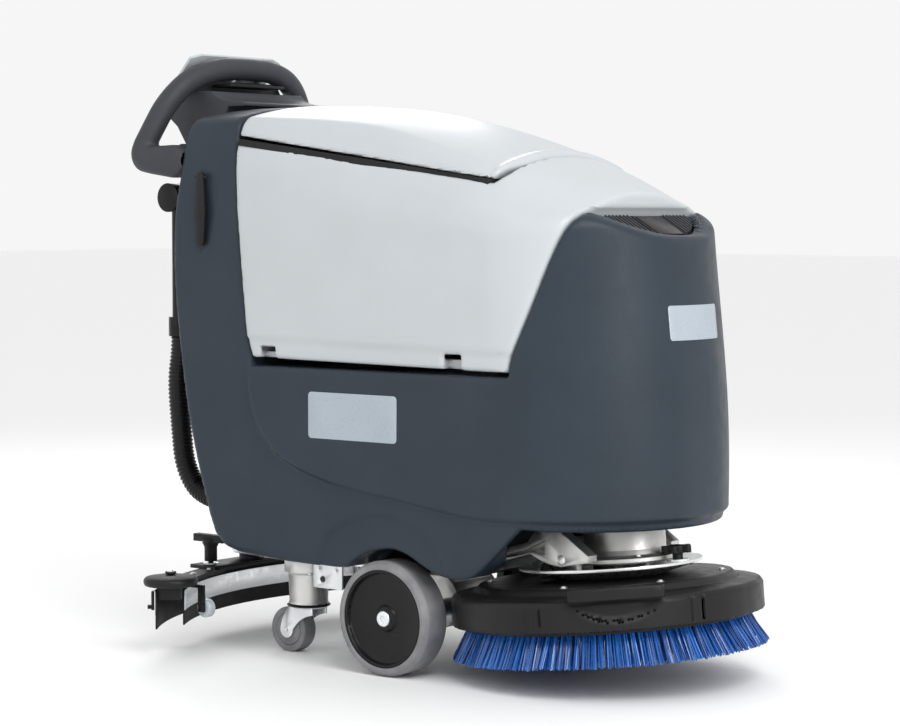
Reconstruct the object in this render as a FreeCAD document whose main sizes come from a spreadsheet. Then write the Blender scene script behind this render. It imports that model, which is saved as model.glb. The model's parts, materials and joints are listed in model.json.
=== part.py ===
import FreeCAD, Part
import math
import os

from FreeCAD import Placement, Rotation, Vector

# Walk-behind floor scrubber-dryer.
# Frame: +X forward (brush end), +Y left, +Z up, millimetres.  The origin is on the floor, under
# the middle of the machine's outer box.  Most X values are written as "ahead of the drive axle"
# and moved by the sheet's axle_ahead.

os.makedirs("parts", exist_ok=True)
doc = FreeCAD.newDocument("floor_scrubber")

# ---------------------------------------------------------------- driving dimensions

SIZES = {
    "axle_ahead": 43.3,
    "wheel_radius": 100.0,
    "wheel_outer_face": 255.0,
    "wheel_width": 60.0,
    "wheel_disc_radius": 84.0,
    "caster_axis_back": 262.0,
    "caster_offset": 147.0,
    "caster_trail": 37.0,
    "caster_radius": 41.0,
    "caster_width": 30.0,
    "body_half_width": 262.0,
    "body_top_half_width": 250.0,
    "nose_centre": 228.0,
    "seam_gap": 2.0,
    "wall": 8.0,
    "brush_centre": 302.0,
    "brush_tip_height": 46.0,
    "brush_radius": 270.0,
    "deck_pitch": 5.06,
    "deck_radius": 269.0,
    "deck_skirt_low": 60.0,
    "deck_skirt_high": 112.0,
    "lift_pivot_ahead": 108.0,
    "lift_pivot_height": 197.0,
    "deck_pivot_ahead": 296.0,
    "deck_pivot_height": 215.0,
    "arm_offset": 125.0,
    "motor_ahead": 348.0,
    "motor_radius": 70.0,
    "squeegee_arc_centre": 14.0,
    "squeegee_radius": 554.0,
    "squeegee_half_angle": 36.6,
    "squeegee_low": 104.0,
    "squeegee_high": 128.0,
    "blade_tip": 52.0,
    "bumper_radius": 49.0,
    "squeegee_pivot_back": 250.0,
    "squeegee_pivot_height": 150.0,
    "handle_radius": 21.0,
    "hose_radius": 20.0,
    "pipe_radius": 17.0,
}

sheet = doc.addObject("Spreadsheet::Sheet", "Sizes")
for row, (alias, value) in enumerate(SIZES.items(), start=1):
    sheet.set(f"A{row}", alias)
    sheet.set(f"B{row}", str(value))
    sheet.setAlias(f"B{row}", alias)
doc.recompute()


def size(alias):
    return float(getattr(sheet, alias))


AXLE = size("axle_ahead")
NODES = []


# ---------------------------------------------------------------- small tools

def node(label, obj):
    """Name a finished sub-part; its label names its file."""
    obj.Label = label
    NODES.append(obj)
    return obj


def bind(obj, **formulas):
    """Bind properties to the sheet; an alias is written as a bare word inside {}."""
    for prop, formula in formulas.items():
        obj.setExpression(prop.replace("__", "."), spelled(formula))


def spelled(formula):
    """Turn '{wheel_radius} - 5' into a formula that reads the sheet."""
    return str(formula).replace("{", "Sizes.").replace("}", "")


def seat(obj, x, y, z):
    """Place an object's base point; x is ahead of the drive axle."""
    bind(obj, Placement__Base__x=f"{{axle_ahead}} + ({x})", Placement__Base__y=y, Placement__Base__z=z)


def block(name, x_span, y_span, z_span):
    """A box between three pairs of formulas; x is ahead of the drive axle."""
    obj = doc.addObject("Part::Box", name)
    bind(obj, Length=f"({x_span[1]}) - ({x_span[0]})")
    bind(obj, Width=f"({y_span[1]}) - ({y_span[0]})")
    bind(obj, Height=f"({z_span[1]}) - ({z_span[0]})")
    seat(obj, x_span[0], y_span[0], z_span[0])
    return obj


TURNS = {
    "x": Rotation(Vector(0, 1, 0), 90),
    "y": Rotation(Vector(1, 0, 0), -90),
    "z": Rotation(),
}


def rod(name, along, start, radius, length):
    """A cylinder from start, running in +X, +Y or +Z."""
    obj = doc.addObject("Part::Cylinder", name)
    obj.Placement = Placement(Vector(), TURNS[along])
    bind(obj, Radius=radius, Height=length)
    seat(obj, *start)
    return obj


def fused(name, *parts):
    obj = doc.addObject("Part::MultiFuse", name)
    obj.Shapes = list(parts)
    return obj


def shared(name, *parts):
    obj = doc.addObject("Part::MultiCommon", name)
    obj.Shapes = list(parts)
    return obj


def cut(name, base, *tools):
    obj = doc.addObject("Part::Cut", name)
    obj.Base = base
    obj.Tool = tools[0] if len(tools) == 1 else fused(name + "Tools", *tools)
    return obj


def group(name, *parts):
    """Separate solids that share one node."""
    obj = doc.addObject("Part::Compound", name)
    obj.Links = list(parts)
    return obj


def draw(sketch, start, *edges):
    """Close an outline: a point is a line to it, ('arc', mid, end) an arc, ('curve', ...) a spline."""
    here = Vector(*start, 0)
    for edge in edges + (start,):
        if edge[0] == "arc":
            end = Vector(*edge[2], 0)
            sketch.addGeometry(Part.Arc(here, Vector(*edge[1], 0), end), False)
        elif edge[0] == "curve":
            points = [here] + [Vector(*point, 0) for point in edge[1:]]
            curve = Part.BSplineCurve()
            curve.interpolate(points)
            sketch.addGeometry(curve, False)
            end = points[-1]
        else:
            end = Vector(*edge, 0)
            if end.distanceToPoint(here) > 1e-6:
                sketch.addGeometry(Part.LineSegment(here, end), False)
        here = end


def origin_plane(body, role):
    return next(item for item in body.Origin.OriginFeatures if item.Role == role)


def sketch_in(body, name, role, outline):
    sketch = body.newObject("Sketcher::SketchObject", name)
    sketch.AttachmentSupport = [(origin_plane(body, role), "")]
    sketch.MapMode = "FlatFace"
    draw(sketch, *outline)
    return sketch


def turned(name, outline, place=None):
    """A PartDesign body turned about its own Z; outline points are (radius, height)."""
    body = doc.addObject("PartDesign::Body", name)
    sketch = sketch_in(body, name + "Profile", "XZ_Plane", outline)
    turn = body.newObject("PartDesign::Revolution", name + "Turn")
    turn.Profile = sketch
    turn.ReferenceAxis = (sketch, ["V_Axis"])
    turn.Angle = 360
    sketch.Visibility = False
    if place:
        body.Placement = place
    return body


def pressed(name, role, outline, thickness, place=None, both_ways=False):
    """A PartDesign body padded from one outline."""
    body = doc.addObject("PartDesign::Body", name)
    sketch = sketch_in(body, name + "Outline", role, outline)
    pad = body.newObject("PartDesign::Pad", name + "Pad")
    pad.Profile = sketch
    bind(pad, Length=thickness)
    pad.Midplane = both_ways
    if place:
        body.Placement = place
    return body


def slab(name, outline, width, centre=0.0):
    """A side-view outline (ahead of the axle, height) padded across the machine."""
    return pressed(name, "XZ_Plane", outline, width, Placement(Vector(AXLE, centre, 0), Rotation()), True)


def spot(x, y, z, rotation=None):
    """A placement whose x is ahead of the drive axle."""
    return Placement(Vector(AXLE + x, y, z), rotation or Rotation())


def rounded_path(points, share=0.45):
    """Straight runs joined by the largest tangent arcs that fit; x is ahead of the axle."""
    nodes = [Vector(AXLE + x, y, z) for x, y, z in points]
    edges = []
    radii = []
    here = nodes[0]
    for before, corner, after in zip(nodes, nodes[1:], nodes[2:]):
        inward = (before - corner).normalize()
        outward = (after - corner).normalize()
        reach = share * min(corner.distanceToPoint(before), corner.distanceToPoint(after))
        turn = math.pi - inward.getAngle(outward)
        radius = reach / math.tan(turn / 2)
        start = corner + inward * reach
        end = corner + outward * reach
        middle_way = (inward + outward).normalize()
        centre = corner + middle_way * math.hypot(radius, reach)
        middle = centre - middle_way * radius
        edges.append(Part.LineSegment(here, start).toShape())
        edges.append(Part.Arc(start, middle, end).toShape())
        radii.append(round(radius, 1))
        here = end
    edges.append(Part.LineSegment(here, nodes[-1]).toShape())
    return Part.Wire(edges), radii


def swept(points, radius, share=0.45):
    """The shape of a round bar along a rounded path."""
    path, radii = rounded_path(points, share)
    way = path.Edges[0].tangentAt(path.Edges[0].FirstParameter)
    ring = Part.Wire(Part.makeCircle(radius, path.Vertexes[0].Point, way))
    return path.makePipeShell([ring], True, False), path.Length, radii


def moulded(name, shape):
    """A Part::Feature for a shape that no sketch or primitive makes."""
    obj = doc.addObject("Part::Feature", name)
    obj.Shape = shape
    return obj


SIDES = (("right", -1), ("left", 1))

# ---------------------------------------------------------------- outer form of the bodywork
# The slate body, the tank and its lid are flush, so one outer form is made from two lofts and
# each piece is the part of it inside its own side-view outline.

REAR_END = -560.0

# Half sections of the crown at stations ahead of the axle:
# station, (shoulder half width, height), (lid gap), (crease), height at the centre line.
CROWN = (
    (-560.0, (262.0, 890.0), (246.0, 940.0), (224.0, 968.0), 993.0),
    (-348.0, (262.0, 881.0), (240.0, 927.0), (222.0, 966.0), 995.0),
    (-75.0, (262.0, 829.0), (228.0, 884.0), (208.0, 938.0), 975.0),
    (196.0, (262.0, 773.0), (212.0, 842.0), (192.0, 867.0), 903.0),
    (366.0, (262.0, 741.0), (176.0, 801.0), (152.0, 808.0), 832.0),
    (500.0, (262.0, 720.0), (160.0, 755.0), (135.0, 760.0), 775.0),
)

# Plan sections: height, how far the nose centre leans back, half width.
PLAN = (
    (150.0, 0.0, size("body_half_width")),
    (450.0, 0.0, size("body_half_width")),
    (741.0, 14.0, size("body_top_half_width")),
    (1040.0, 28.0, size("body_top_half_width") - 12.0),
)


def free_sketch(name, place, outline):
    sketch = doc.addObject("Sketcher::SketchObject", name)
    sketch.Placement = place
    draw(sketch, *outline)
    return sketch


def loft(name, sections):
    obj = doc.addObject("Part::Loft", name)
    obj.Sections = sections
    obj.Solid = True
    obj.Ruled = True
    return obj


def outer_form(name, inset=0.0):
    """The outer form of the bodywork, or the same form drawn in by a wall."""
    plans = []
    for index, (height, lean, half) in enumerate(PLAN):
        half = half - inset
        centre = size("nose_centre") - lean
        outline = ((REAR_END, -half), (centre, -half), ("arc", (centre + half, 0), (centre, half)),
                   (REAR_END, half))
        plans.append(free_sketch(f"{name}Plan{index}", spot(0, 0, height), outline))
    crowns = []
    across = Rotation(Vector(1, 1, 1), 120)
    for index, (station, shoulder, gap, crease, top) in enumerate(CROWN):
        side = [(y - inset, z - inset) for y, z in (shoulder, gap, crease)]
        base = (side[0][0], 120.0)
        right = [(-y, z) for y, z in [base] + side]
        left = [(y, z) for y, z in reversed([base] + side)]
        outline = right + [("arc", (0, top - inset), left[0])] + left[1:]
        crowns.append(free_sketch(f"{name}Crown{index}", spot(station, 0, 0, across), outline))
    return shared(name, loft(name + "PlanLoft", plans), loft(name + "CrownLoft", crowns))


form = outer_form("OuterForm")

# The seam between tank and tower, and the column's front edge, from the ledge upwards.
SEAM = ((270, 526), (275, 560), (304, 638), (338, 740), (366, 803))
COLUMN_FRONT = ((-299, 526), (-316, 587), (-338, 736), (-348, 818), (-352, 884), (-360, 985))

# ---------------------------------------------------------------- slate body moulding

body_side = (
    (-340, 188), (-113, 180), (-72, 183), ("curve", (60, 205), (107, 187)), (182, 185),
    ("curve", (248, 234), (296, 284)), (330, 274), (490, 273), (490, 450),
    ("curve", (481, 600), (466, 741)), ("arc", (456, 756), (440, 762)), SEAM[-1],
    ("curve",) + SEAM[-2::-1],
    COLUMN_FRONT[0], ("curve",) + COLUMN_FRONT[1:], (-366, 994), (-415, 994), ("arc", (-458, 986),
                                                                               (-478, 955)),
    (-499, 850), ("curve", (-512, 770), (-501, 646), (-470, 468), (-413, 250)), ("arc", (-388, 208),
                                                                                 (-340, 188)),
)
shell = shared("ShellBlank", form, slab("ShellSide", body_side, 540))

battery_bay = block("BatteryBay", (-272, 66), (-185, 185), (236, 560))
wheel_wells = [
    rod(f"WheelWell{side}", "y", (0, f"{hand} * 228 - 46", "{wheel_radius}"), "{wheel_radius} + 17", 92)
    for side, hand in SIDES
]
lift_bay = block("LiftBay", (78, 228), (-192, 192), (150, 318))
deck_bay = rod("DeckBay", "z", ("{nose_centre}", 0, 150), "{body_half_width} - 14", 168)
deck_bay_front = shared("DeckBayFront", deck_bay, block("DeckBayHalf", (226, 500), (-260, 260), (150, 318)))
caster_wells = [
    rod(f"CasterWell{side}", "z", ("-{caster_axis_back}", f"{hand} * {{caster_offset}}", 150), 46, 35)
    for side, hand in SIDES
]

chamber_side = ((292, 336), (500, 336), (500, 728), (356, 728), (322, 640), (292, 560))
chamber_outline = slab("ChamberSide", chamber_side, 500)

RIM_CENTRE = 239.0
RIM_RADIUS = 200.0
scoop_side = ((350, 806), (350, 900), (470, 900), (470, 735))
scoop = shared("Scoop", rod("ScoopRound", "z", (RIM_CENTRE, 0, 700), RIM_RADIUS, 200),
               slab("ScoopSide", scoop_side, 400))
filler_throat = shared("FillerThroat", rod("ThroatRound", "z", (RIM_CENTRE, 0, 700), RIM_RADIUS - 9, 150),
                       block("ThroatHalf", (360, 460), (-140, 140), (700, 850)))

inner_form = outer_form("InnerForm", inset=6.0)
nose_wall = slab("NoseWall", ((290, 330), (483, 330), (483, 450), (474, 600), (460, 735), (290, 735)), 520)
chamber = shared("Chamber", chamber_outline, nose_wall, inner_form)
column_void_side = ((-468, 530), (-318, 530), (-342, 700), (-358, 800), (-370, 960), (-458, 960),
                    (-492, 790))
column_void = shared("ColumnVoid", slab("ColumnVoidSide", column_void_side, 500), inner_form)
base_void_side = ((-392, 232), (-455, 468), (-458, 516), (262, 516), (262, 328), (71, 328), (71, 232))
base_void = shared("BaseVoid", slab("BaseVoidSide", base_void_side, 520), inner_form)
tail_void = shared("TailVoid", block("TailVoidBox", (-376, -126), (-256, 256), (193, 233)), inner_form)
bay_walls = cut("BayWalls", block("BayOuter", (-277, 71), (-190, 190), (226, 526)), battery_bay)
latch_pocket = block("LatchPocket", (-449, -417), ("-{body_half_width} - 10", -232), (738, 876))
latch_lining = block("LatchLining", (-455, -411), (-238, -226), (732, 882))

GRILLE_SLOPE = math.degrees(math.atan2(806 - 735, 470 - 350))


def grille_band(name, inset, x_low, x_high, thickness):
    """A sheet on the scoop's slope, inside the round rim."""
    fall = math.tan(math.radians(GRILLE_SLOPE))

    def height(x):
        return 806 - (x - 350) * fall

    band = slab(name + "Side", ((x_low, height(x_low) - thickness), (x_high, height(x_high) - thickness),
                                (x_high, height(x_high)), (x_low, height(x_low))), 400)
    return shared(name, rod(name + "Round", "z", (RIM_CENTRE, 0, 690), RIM_RADIUS - inset, 200), band)


hollowed = cut(
    "HollowedShell", shell, battery_bay, *wheel_wells, lift_bay, deck_bay_front, *caster_wells, chamber, scoop,
    filler_throat, grille_band("GrilleSeat", 0.0, 367.5, 441, 7.01), column_void, base_void, tail_void)
node("body_shell", cut("BodyShell", fused("ShellWithBay", hollowed, bay_walls, latch_lining), latch_pocket))

# ---------------------------------------------------------------- recovery tank and lid

gap = size("seam_gap")
LID_FRONT = 196.0
LID_REAR = -351.0
TANK_RIM = ((202, 841), (-364, 920))
LID_EDGE = ((LID_FRONT, 854), (LID_REAR, 935))

tank_side = (
    (-297 + gap, 534), (268 - gap, 534), ("curve",) + tuple((x - gap, z) for x,
                                                            z in SEAM[1:-1]) + ((361, 801),),
    (366, 806), (366, 900), (202, 1020), TANK_RIM[0], (-353 + gap, 918.5),
    ("curve",) + tuple((x + gap, z) for x, z in COLUMN_FRONT[3:0:-1]) + ((-297 + gap, 540),),
)
tank_blank = shared("TankBlank", form, slab("TankSide", tank_side, 540))
tank_void_side = (
    (-285, 548), (258, 548), (292, 640), (325, 740), (348, 792), (348, 1020), (-340, 1020), (-333,
            800), (-322, 700),
    (-303, 600),
)
tank_void = shared("TankVoid", slab("TankVoidSide", tank_void_side, 540), inner_form)
node("recovery_tank", cut("RecoveryTank", tank_blank, tank_void))

lid_side = (LID_EDGE[1], LID_EDGE[0], (LID_FRONT, 1020), (LID_REAR, 1020))
lid_blank = shared("LidBlank", form, slab("LidSide", lid_side, 540))
lid_void = shared("LidVoid", inner_form, block("LidVoidBox", (LID_REAR + 6, LID_FRONT - 6), (-260, 260),
                                               (700, 1000)))
node("tank_lid", cut("TankLid", lid_blank, lid_void))


def lid_frame(name, low_gap, high_gap, outer_inset, inner_inset):
    """A frame that follows the lid's rim, between two heights above the tank's rim."""
    front, rear = LID_FRONT - outer_inset, LID_REAR + outer_inset
    slope = (TANK_RIM[0][1] - TANK_RIM[1][1]) / (TANK_RIM[0][0] - TANK_RIM[1][0])

    def rim(x):
        return TANK_RIM[0][1] + slope * (x - TANK_RIM[0][0])

    band = slab(name + "Band", ((rear, rim(rear) + low_gap), (front, rim(front) + low_gap),
                                (front, rim(front) + high_gap), (rear, rim(rear) + high_gap)), 540)
    outline = shared(name + "Outer", outer_form(name + "Form", inset=outer_inset), band)
    opening = shared(name + "Inner", outer_form(name + "Void", inset=inner_inset),
                     block(name + "VoidBox",
                           (rear + inner_inset - outer_inset, front - inner_inset + outer_inset),
                           (-260, 260), (700, 1000)))
    return cut(name, outline, opening)


node("lid_seal", lid_frame("LidSeal", 0.4, 11.6, 3.0, 14.0))

# A float cage stops the vacuum when the tank is full; its ball is a loose solid inside.
cage = cut("FloatCageShell",
           rod("FloatCageOuter", "z", (-250, 0, 700), 42, 150),
           rod("FloatCageInner", "z", (-250, 0, 704), 38, 142),
           block("FloatCageSlotX", (-300, -200), (-9, 9), (716, 800)),
           block("FloatCageSlotY", (-259, -241), (-50, 50), (716, 800)))
bracket = block("FloatBracket", (-331, -291), (-30, 30), (820, 830))
ball = doc.addObject("Part::Sphere", "FloatBall")
bind(ball, Radius=30)
seat(ball, -250, 0, 736)
node("float_cage", group("FloatCage", fused("FloatCageWhole", cage, bracket), ball))

# ---------------------------------------------------------------- filler grille and flap in the tower

grille = grille_band("GrilleBlank", 1.0, 368.5, 440, 7)
slots = []
for index in range(5):
    for side, hand in SIDES:
        x = 380 + 8.5 * index
        slots.append(block(f"GrilleSlot{side}{index}", (x, x + 4),
                           (f"{hand} * 78 - 30", f"{hand} * 78 + 30"),
                           (700, 850)))
flap_hole = block("FlapHole", (374, 424), (-37, 37), (700, 850))
node("filler_grille", cut("FillerGrille", grille, flap_hole, *slots))
flap_blank = grille_band("FlapBlank", 1.0, 374.5, 423.5, 5)
node("filler_flap", shared("FillerFlap", flap_blank,
                           block("FlapTrim", (374, 424), (-36.5, 36.5), (700, 850))))

# ---------------------------------------------------------------- chassis, drive axle and casters

tray = block("Tray", (-330, 128), (-186, 186), (174, 179.5))
arm_brackets = []
for side, hand in SIDES:
    arm_brackets.append(block(f"ArmEar{side}", (82, 128), (f"{hand} * 104 - 3", f"{hand} * 104 + 3"),
                              (174, 214)))
    arm_brackets.append(block(f"Gusset{side}", (-218, -150), (f"{hand} * 182 - 2", f"{hand} * 182 + 2"),
                              (128, 174)))
squeegee_ears = [
    block(f"SqueegeeEar{side}", (-266, -234), (f"{hand} * 52 - 3", f"{hand} * 52 + 3"), (136, 174))
    for side, hand in SIDES
]
lift_pin_hole = rod("LiftPinHole", "y", ("{lift_pivot_ahead}", -140, "{lift_pivot_height}"), 8.05, 280)
squeegee_pin_hole = rod("SqueegeePinHole", "y", ("-{squeegee_pivot_back}", -90, "{squeegee_pivot_height}"),
                        6.05, 180)
tie_holes = [
    rod(f"TieHole{side}", "y", (-196, f"{hand} * 182 - 10", 144), 6, 20)
    for side, hand in SIDES
]
node("chassis_frame", cut(
    "ChassisFrame", fused("FrameParts", tray, *arm_brackets, *squeegee_ears), lift_pin_hole,
    squeegee_pin_hole, *tie_holes))

gearbox = rod("Gearbox", "y", (-35.5, -60, 106), 50, 120)
axle_tube = rod("AxleTube", "y", (0, -112, "{wheel_radius}"), 15.5, 224)
gear_neck = block("GearNeck", (-70, 0), (-50, 50), (130, 174))
axle_bore = rod("AxleBore", "y", (0, -113, "{wheel_radius}"), 12.05, 226)
node("transaxle", cut("Transaxle", fused("TransaxleBody", gearbox, axle_tube, gear_neck), axle_bore))
node("drive_motor", rod("DriveMotor", "x", (-215, 0, 106), 42, 129.5))

housings = []
for side, hand in SIDES:
    centre_y = hand * size("caster_offset")
    axis_spot = spot(-size("caster_axis_back"), centre_y, 0)
    wheel_x = "-{caster_axis_back} - {caster_trail}"
    housings.append(turned(f"CasterHousing{side}",
                           ((10.05, 91), (37, 91), (35, 96), (37, 146), (44, 150), (44, 174),
                                                    (10.05, 174)), axis_spot))
    stem = turned(f"CasterStem{side}", ((0, 83), (29, 83), (33, 86), (33, 90), (10, 90.6), (10, 166),
                                        (0, 166)),
                  axis_spot)
    cheeks = [
        pressed(f"CasterCheek{side}{index}", "XZ_Plane",
                ((26, 85), (-30, 85), ("curve", (-46, 62), (-52, 41)), ("arc", (-37, 26), (-22, 41)),
                 ("curve", (-4, 60), (26, 72))),
                3, spot(-size("caster_axis_back"), centre_y + 1.5 + offset, 0), False)
        for index, offset in enumerate((-18.6, 18.6))
    ]
    pin = rod(f"CasterPin{side}", "y", (wheel_x, centre_y - 23, "{caster_radius}"), 4, 46)
    node(f"caster_fork_{side}", fused(f"CasterFork{side}", stem, *cheeks, pin))
    tread = rod(f"CasterTread{side}", "y", (wheel_x, centre_y - 15, "{caster_radius}"), "{caster_radius}",
                "{caster_width}")
    core = rod(f"CasterCore{side}", "y", (wheel_x, centre_y - 15.5, "{caster_radius}"),
               "{caster_radius} - 12",
               "{caster_width} + 1")
    core_room = rod(f"CasterCoreRoom{side}", "y", (wheel_x, centre_y - 16, "{caster_radius}"),
                    "{caster_radius} - 12", "{caster_width} + 2")
    bore = rod(f"CasterBore{side}", "y", (wheel_x, centre_y - 30, "{caster_radius}"), 4.05, 60)
    node(f"caster_wheel_{side}", group(f"CasterWheel{side}", cut(f"CasterTyre{side}", tread, core_room),
                                       cut(f"CasterHub{side}", core, bore)))
node("caster_housings", group("CasterHousings", *housings))

# ---------------------------------------------------------------- drive wheels

for side, hand in SIDES:
    facing = Rotation(Vector(1, 0, 0), 90 if hand < 0 else -90)
    place = spot(0, hand * size("wheel_outer_face"), size("wheel_radius"), facing)
    outer = size("wheel_radius")
    disc = size("wheel_disc_radius")
    width = size("wheel_width")
    node(f"drive_tyre_{side}", turned(
        f"DriveTyre{side}", ((disc + 1, -width + 4), (outer - 4, -width), (outer, -width + 5), (outer, -9),
                             (outer - 6, 0), (disc + 1, 0)), place))
    node(f"drive_hub_{side}", turned(
        f"DriveHub{side}", ((12, -width + 2), (40, -width + 2), (44, -22), (disc, -30),
                            (disc + 1, -width + 6),
                            (disc + 1, -2), (disc - 4, -2), (disc - 7, -11), (24, -15), (20, -10), (12,
                                    -10)), place))
    bolt_head = turned(
        f"WheelBolt{side}", ((0, -10), (14, -10), (14, -5), (12, -3), (5.5, -3), (5.5, -7), (0, -7)), place)
    inner_end = 60
    outer_end = size("wheel_outer_face") - 10
    shaft = rod(f"ShaftBar{side}", "y", (0, inner_end if hand > 0 else -outer_end, "{wheel_radius}"), 12,
                outer_end - inner_end)
    node(f"drive_shaft_{side}", fused(f"DriveShaft{side}", shaft, bolt_head))

# ---------------------------------------------------------------- batteries and power

for name, x_low, x_high in (("battery_rear", -268, -108), ("battery_front", -98, 62)):
    case = block(name + "Case", (x_low, x_high), (-168, 168), (236.5, 470))
    posts = [rod(name + f"Post{hand}", "z", (x_low + 30, hand * 120, 470), 9, 16) for _, hand in SIDES]
    node(name, fused(name + "Whole", case, *posts))
node("vacuum_motor", turned("VacuumMotor",
                            ((0, 571), (58, 571), (58, 640), (50, 646), (50, 700), (30, 716), (0, 716)),
                            spot(-408, 0, 0)))

# ---------------------------------------------------------------- console, handle, keys

console_side = (
    (-430, 994.5), (-478, 994.5), (-500, 940), (-520, 862), (-560, 885), (-610, 960), (-645, 988),
    (-585, 1048), (-574, 1027), (-520, 1024), ("curve", (-500, 1010), (-470, 1004), (-430, 1000)),
)
console_blank = slab("ConsoleBlank", console_side, 250)
console_void = slab("ConsoleVoid", ((-530, 930), (-600, 975), (-620, 993), (-586, 1026), (-540, 1012),
                                    (-512, 975)), 226)
face_turn = math.degrees(math.atan2(1078 - 988, -556 + 645))


def on_panel(along, across, lift):
    """A spot on the control panel: along its slope, across the machine, and out of its face."""
    turn = Rotation(Vector(0, 1, 0), -face_turn)
    start = Vector(-648 + AXLE, 0, 994)
    return Placement(start + turn.multVec(Vector(along, across, lift)), turn)


plate_outline = ((4, -118), (118, -124), (127, -100), (127, 100), (118, 124), (4, 118))
plate = pressed("Faceplate", "XY_Plane", plate_outline, 5, on_panel(0, 0, 12.5))
display_hole = pressed("DisplayHole", "XY_Plane", ((62, -34), (106, -34), (106, 34), (62, 34)), 12,
                       on_panel(0, 0, 9))
BUTTONS = (("brush", 34, -72), ("vacuum", 34, -36), ("water", 34, 36), ("boost", 34, 72))


def round_tool(name, along, across, radius, low, high):
    """A short cylinder standing on the control panel."""
    obj = doc.addObject("Part::Cylinder", name)
    obj.Placement = on_panel(along, across, low)
    bind(obj, Radius=radius, Height=high - low)
    return obj


wells = [round_tool(f"Well{name}", along, across, 11.4, -6, 30) for name, along, across in BUTTONS]
key_well = round_tool("WellKey", 84, 84, 12.0, -6, 30)
struts = [rod(f"HandleStrut{side}", "y", (-530, "-194" if hand < 0 else 120, 905), 20, 74) for side,
          hand in SIDES]
node("console_housing", cut("ConsoleHousing", fused("ConsoleWhole", console_blank, *struts), console_void,
                            *wells, key_well,
                            pressed("PlateRoom", "XY_Plane",
                                    ((-20, -140), (170, -140), (170, 140), (-20, 140)), 60,
                                    on_panel(0, 0, 12.4))))
plate_wells = [round_tool(f"PlateWell{name}", along, across, 11.4, -6, 30) for name, along,
               across in BUTTONS]
node("console_faceplate", cut("ConsoleFaceplate", plate, display_hole, *plate_wells,
                              round_tool("PlateWellKey", 84, 84, 12.0, -6, 30)))
node("console_display", pressed("ConsoleDisplay", "XY_Plane",
                                ((62.3, -33.7), (105.7, -33.7), (105.7, 33.7), (62.3, 33.7)),
                                3.2, on_panel(0, 0, 12.6)))
for name, along, across in BUTTONS:
    node(f"button_{name}", round_tool(f"Button{name}", along, across, 11, 8.5, 20))
node("key_switch", fused("KeySwitch", round_tool("KeyBarrel", 84, 84, 11.5, 4, 19),
                         pressed("KeyBow", "XY_Plane", ((72, 82), (96, 82), (96, 86), (72, 86)), 16,
                                 on_panel(0, 0, 18.5))))

HANDLE_ROUTE = [
    (-500, -216, 893), (-566, -222, 891), (-608, -227, 902), (-592, -208, 952), (-577, -186, 1002),
    (-560, -138, 1050), (-548, -70, 1069), (-546, 0, 1070.5),
]
HANDLE_ROUTE += [(x, -y, z) for x, y, z in reversed(HANDLE_ROUTE[:-1])]
tube, _, _ = swept(HANDLE_ROUTE, size("handle_radius"))
tube_void, _, _ = swept(HANDLE_ROUTE, size("handle_radius") - 4)
# The two shells part along the plane through the middle of the loop.
lean = math.degrees(math.atan2(60, 167))
split = Part.makeBox(400, 700, 500)
split.Placement = Placement(Vector(AXLE - 619.5, -350, 870), Rotation(Vector(0, 1, 0), lean))
hollow = tube.cut(tube_void)
front_half = hollow.common(split)
rear_half = hollow.cut(split)
lobes = [Part.makeCylinder(30, 34, Vector(AXLE - 530, -228 if hand < 0 else 194, 892), Vector(0, 1, 0))
         for _, hand in SIDES]
node("handle_front_shell", moulded("HandleFrontShell", front_half.fuse(lobes)))
node("handle_rear_shell", moulded("HandleRearShell", rear_half.cut(lobes)))

node("drive_paddle", pressed("DrivePaddle", "XZ_Plane",
                             ((-568, 1034), (-518, 1034), (-518, 1040), (-566, 1040)), 150,
                             spot(0, 0, 0), True))

# ---------------------------------------------------------------- column latch and badges

latch_outline = ((-441, 744), ("arc", (-433, 738), (-425, 744)), (-421, 800), (-425, 862),
                 ("arc", (-433, 871), (-441, 862)),
                 (-445, 800))
latch_plate = pressed("LatchPlate", "XZ_Plane", latch_outline, 7, spot(0, -241, 0))
latch_pin = rod("LatchPin", "x", (-448.5, -244.5, 862), 2.0, 31)
node("side_latch", fused("SideLatch", latch_plate, latch_pin))

badges = []
for side, hand in SIDES:
    y_low = size("body_half_width") if hand > 0 else -size("body_half_width") - 1.2
    badges.append(block(f"SideBadge{side}", (-159, 41), (y_low, y_low + 1.2), (405, 486)))
badge_ring = cut("BadgeRing", rod("BadgeOuter", "z", ("{nose_centre} - 7", 0, 586),
                                  "{body_half_width} - 1.0", 58),
                 rod("BadgeInner", "z", ("{nose_centre} - 7", 0, 580), "{body_half_width} - 2.2", 70))
badges.append(cut("NoseBadge", shared("BadgeBand", badge_ring,
                                      block("BadgeBox", (300, 500), (-72, 72), (586, 644))),
                  form))
node("blank_badges", group("BlankBadges", *badges))

# ---------------------------------------------------------------- scrub deck (pitched at rest)

deck_turn = Rotation(Vector(0, 1, 0), -size("deck_pitch"))
deck_place = spot(size("brush_centre"), 0, size("brush_tip_height"), deck_turn)
radius = size("brush_radius")
node("brush_bristles", turned("BrushBristles", ((150, 0), (radius, 0), (radius - 30, 54), (118, 54)),
                              deck_place))
low, high = size("deck_skirt_low"), size("deck_skirt_high")
node("brush_plate", turned("BrushPlate", ((0, 54.2), (radius - 22, 54.2), (radius - 24, 66), (70, 70),
                                          (66, 84), (19.9, 84),
                                          (19.9, high + 36), (0, high + 36)), deck_place))
deck = size("deck_radius")
cover_profile = (
    (deck - 6, low), (deck, low), (deck, high - 6), ("arc", (deck - 2, high - 2), (deck - 6, high)), (222,
            high + 6),
    (214, high + 16), (96, high + 18), (96, high + 12), (210, high + 10), (218, high), (deck - 6, high - 6),
)
node("deck_cover", turned("DeckCover", cover_profile, deck_place))
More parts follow.
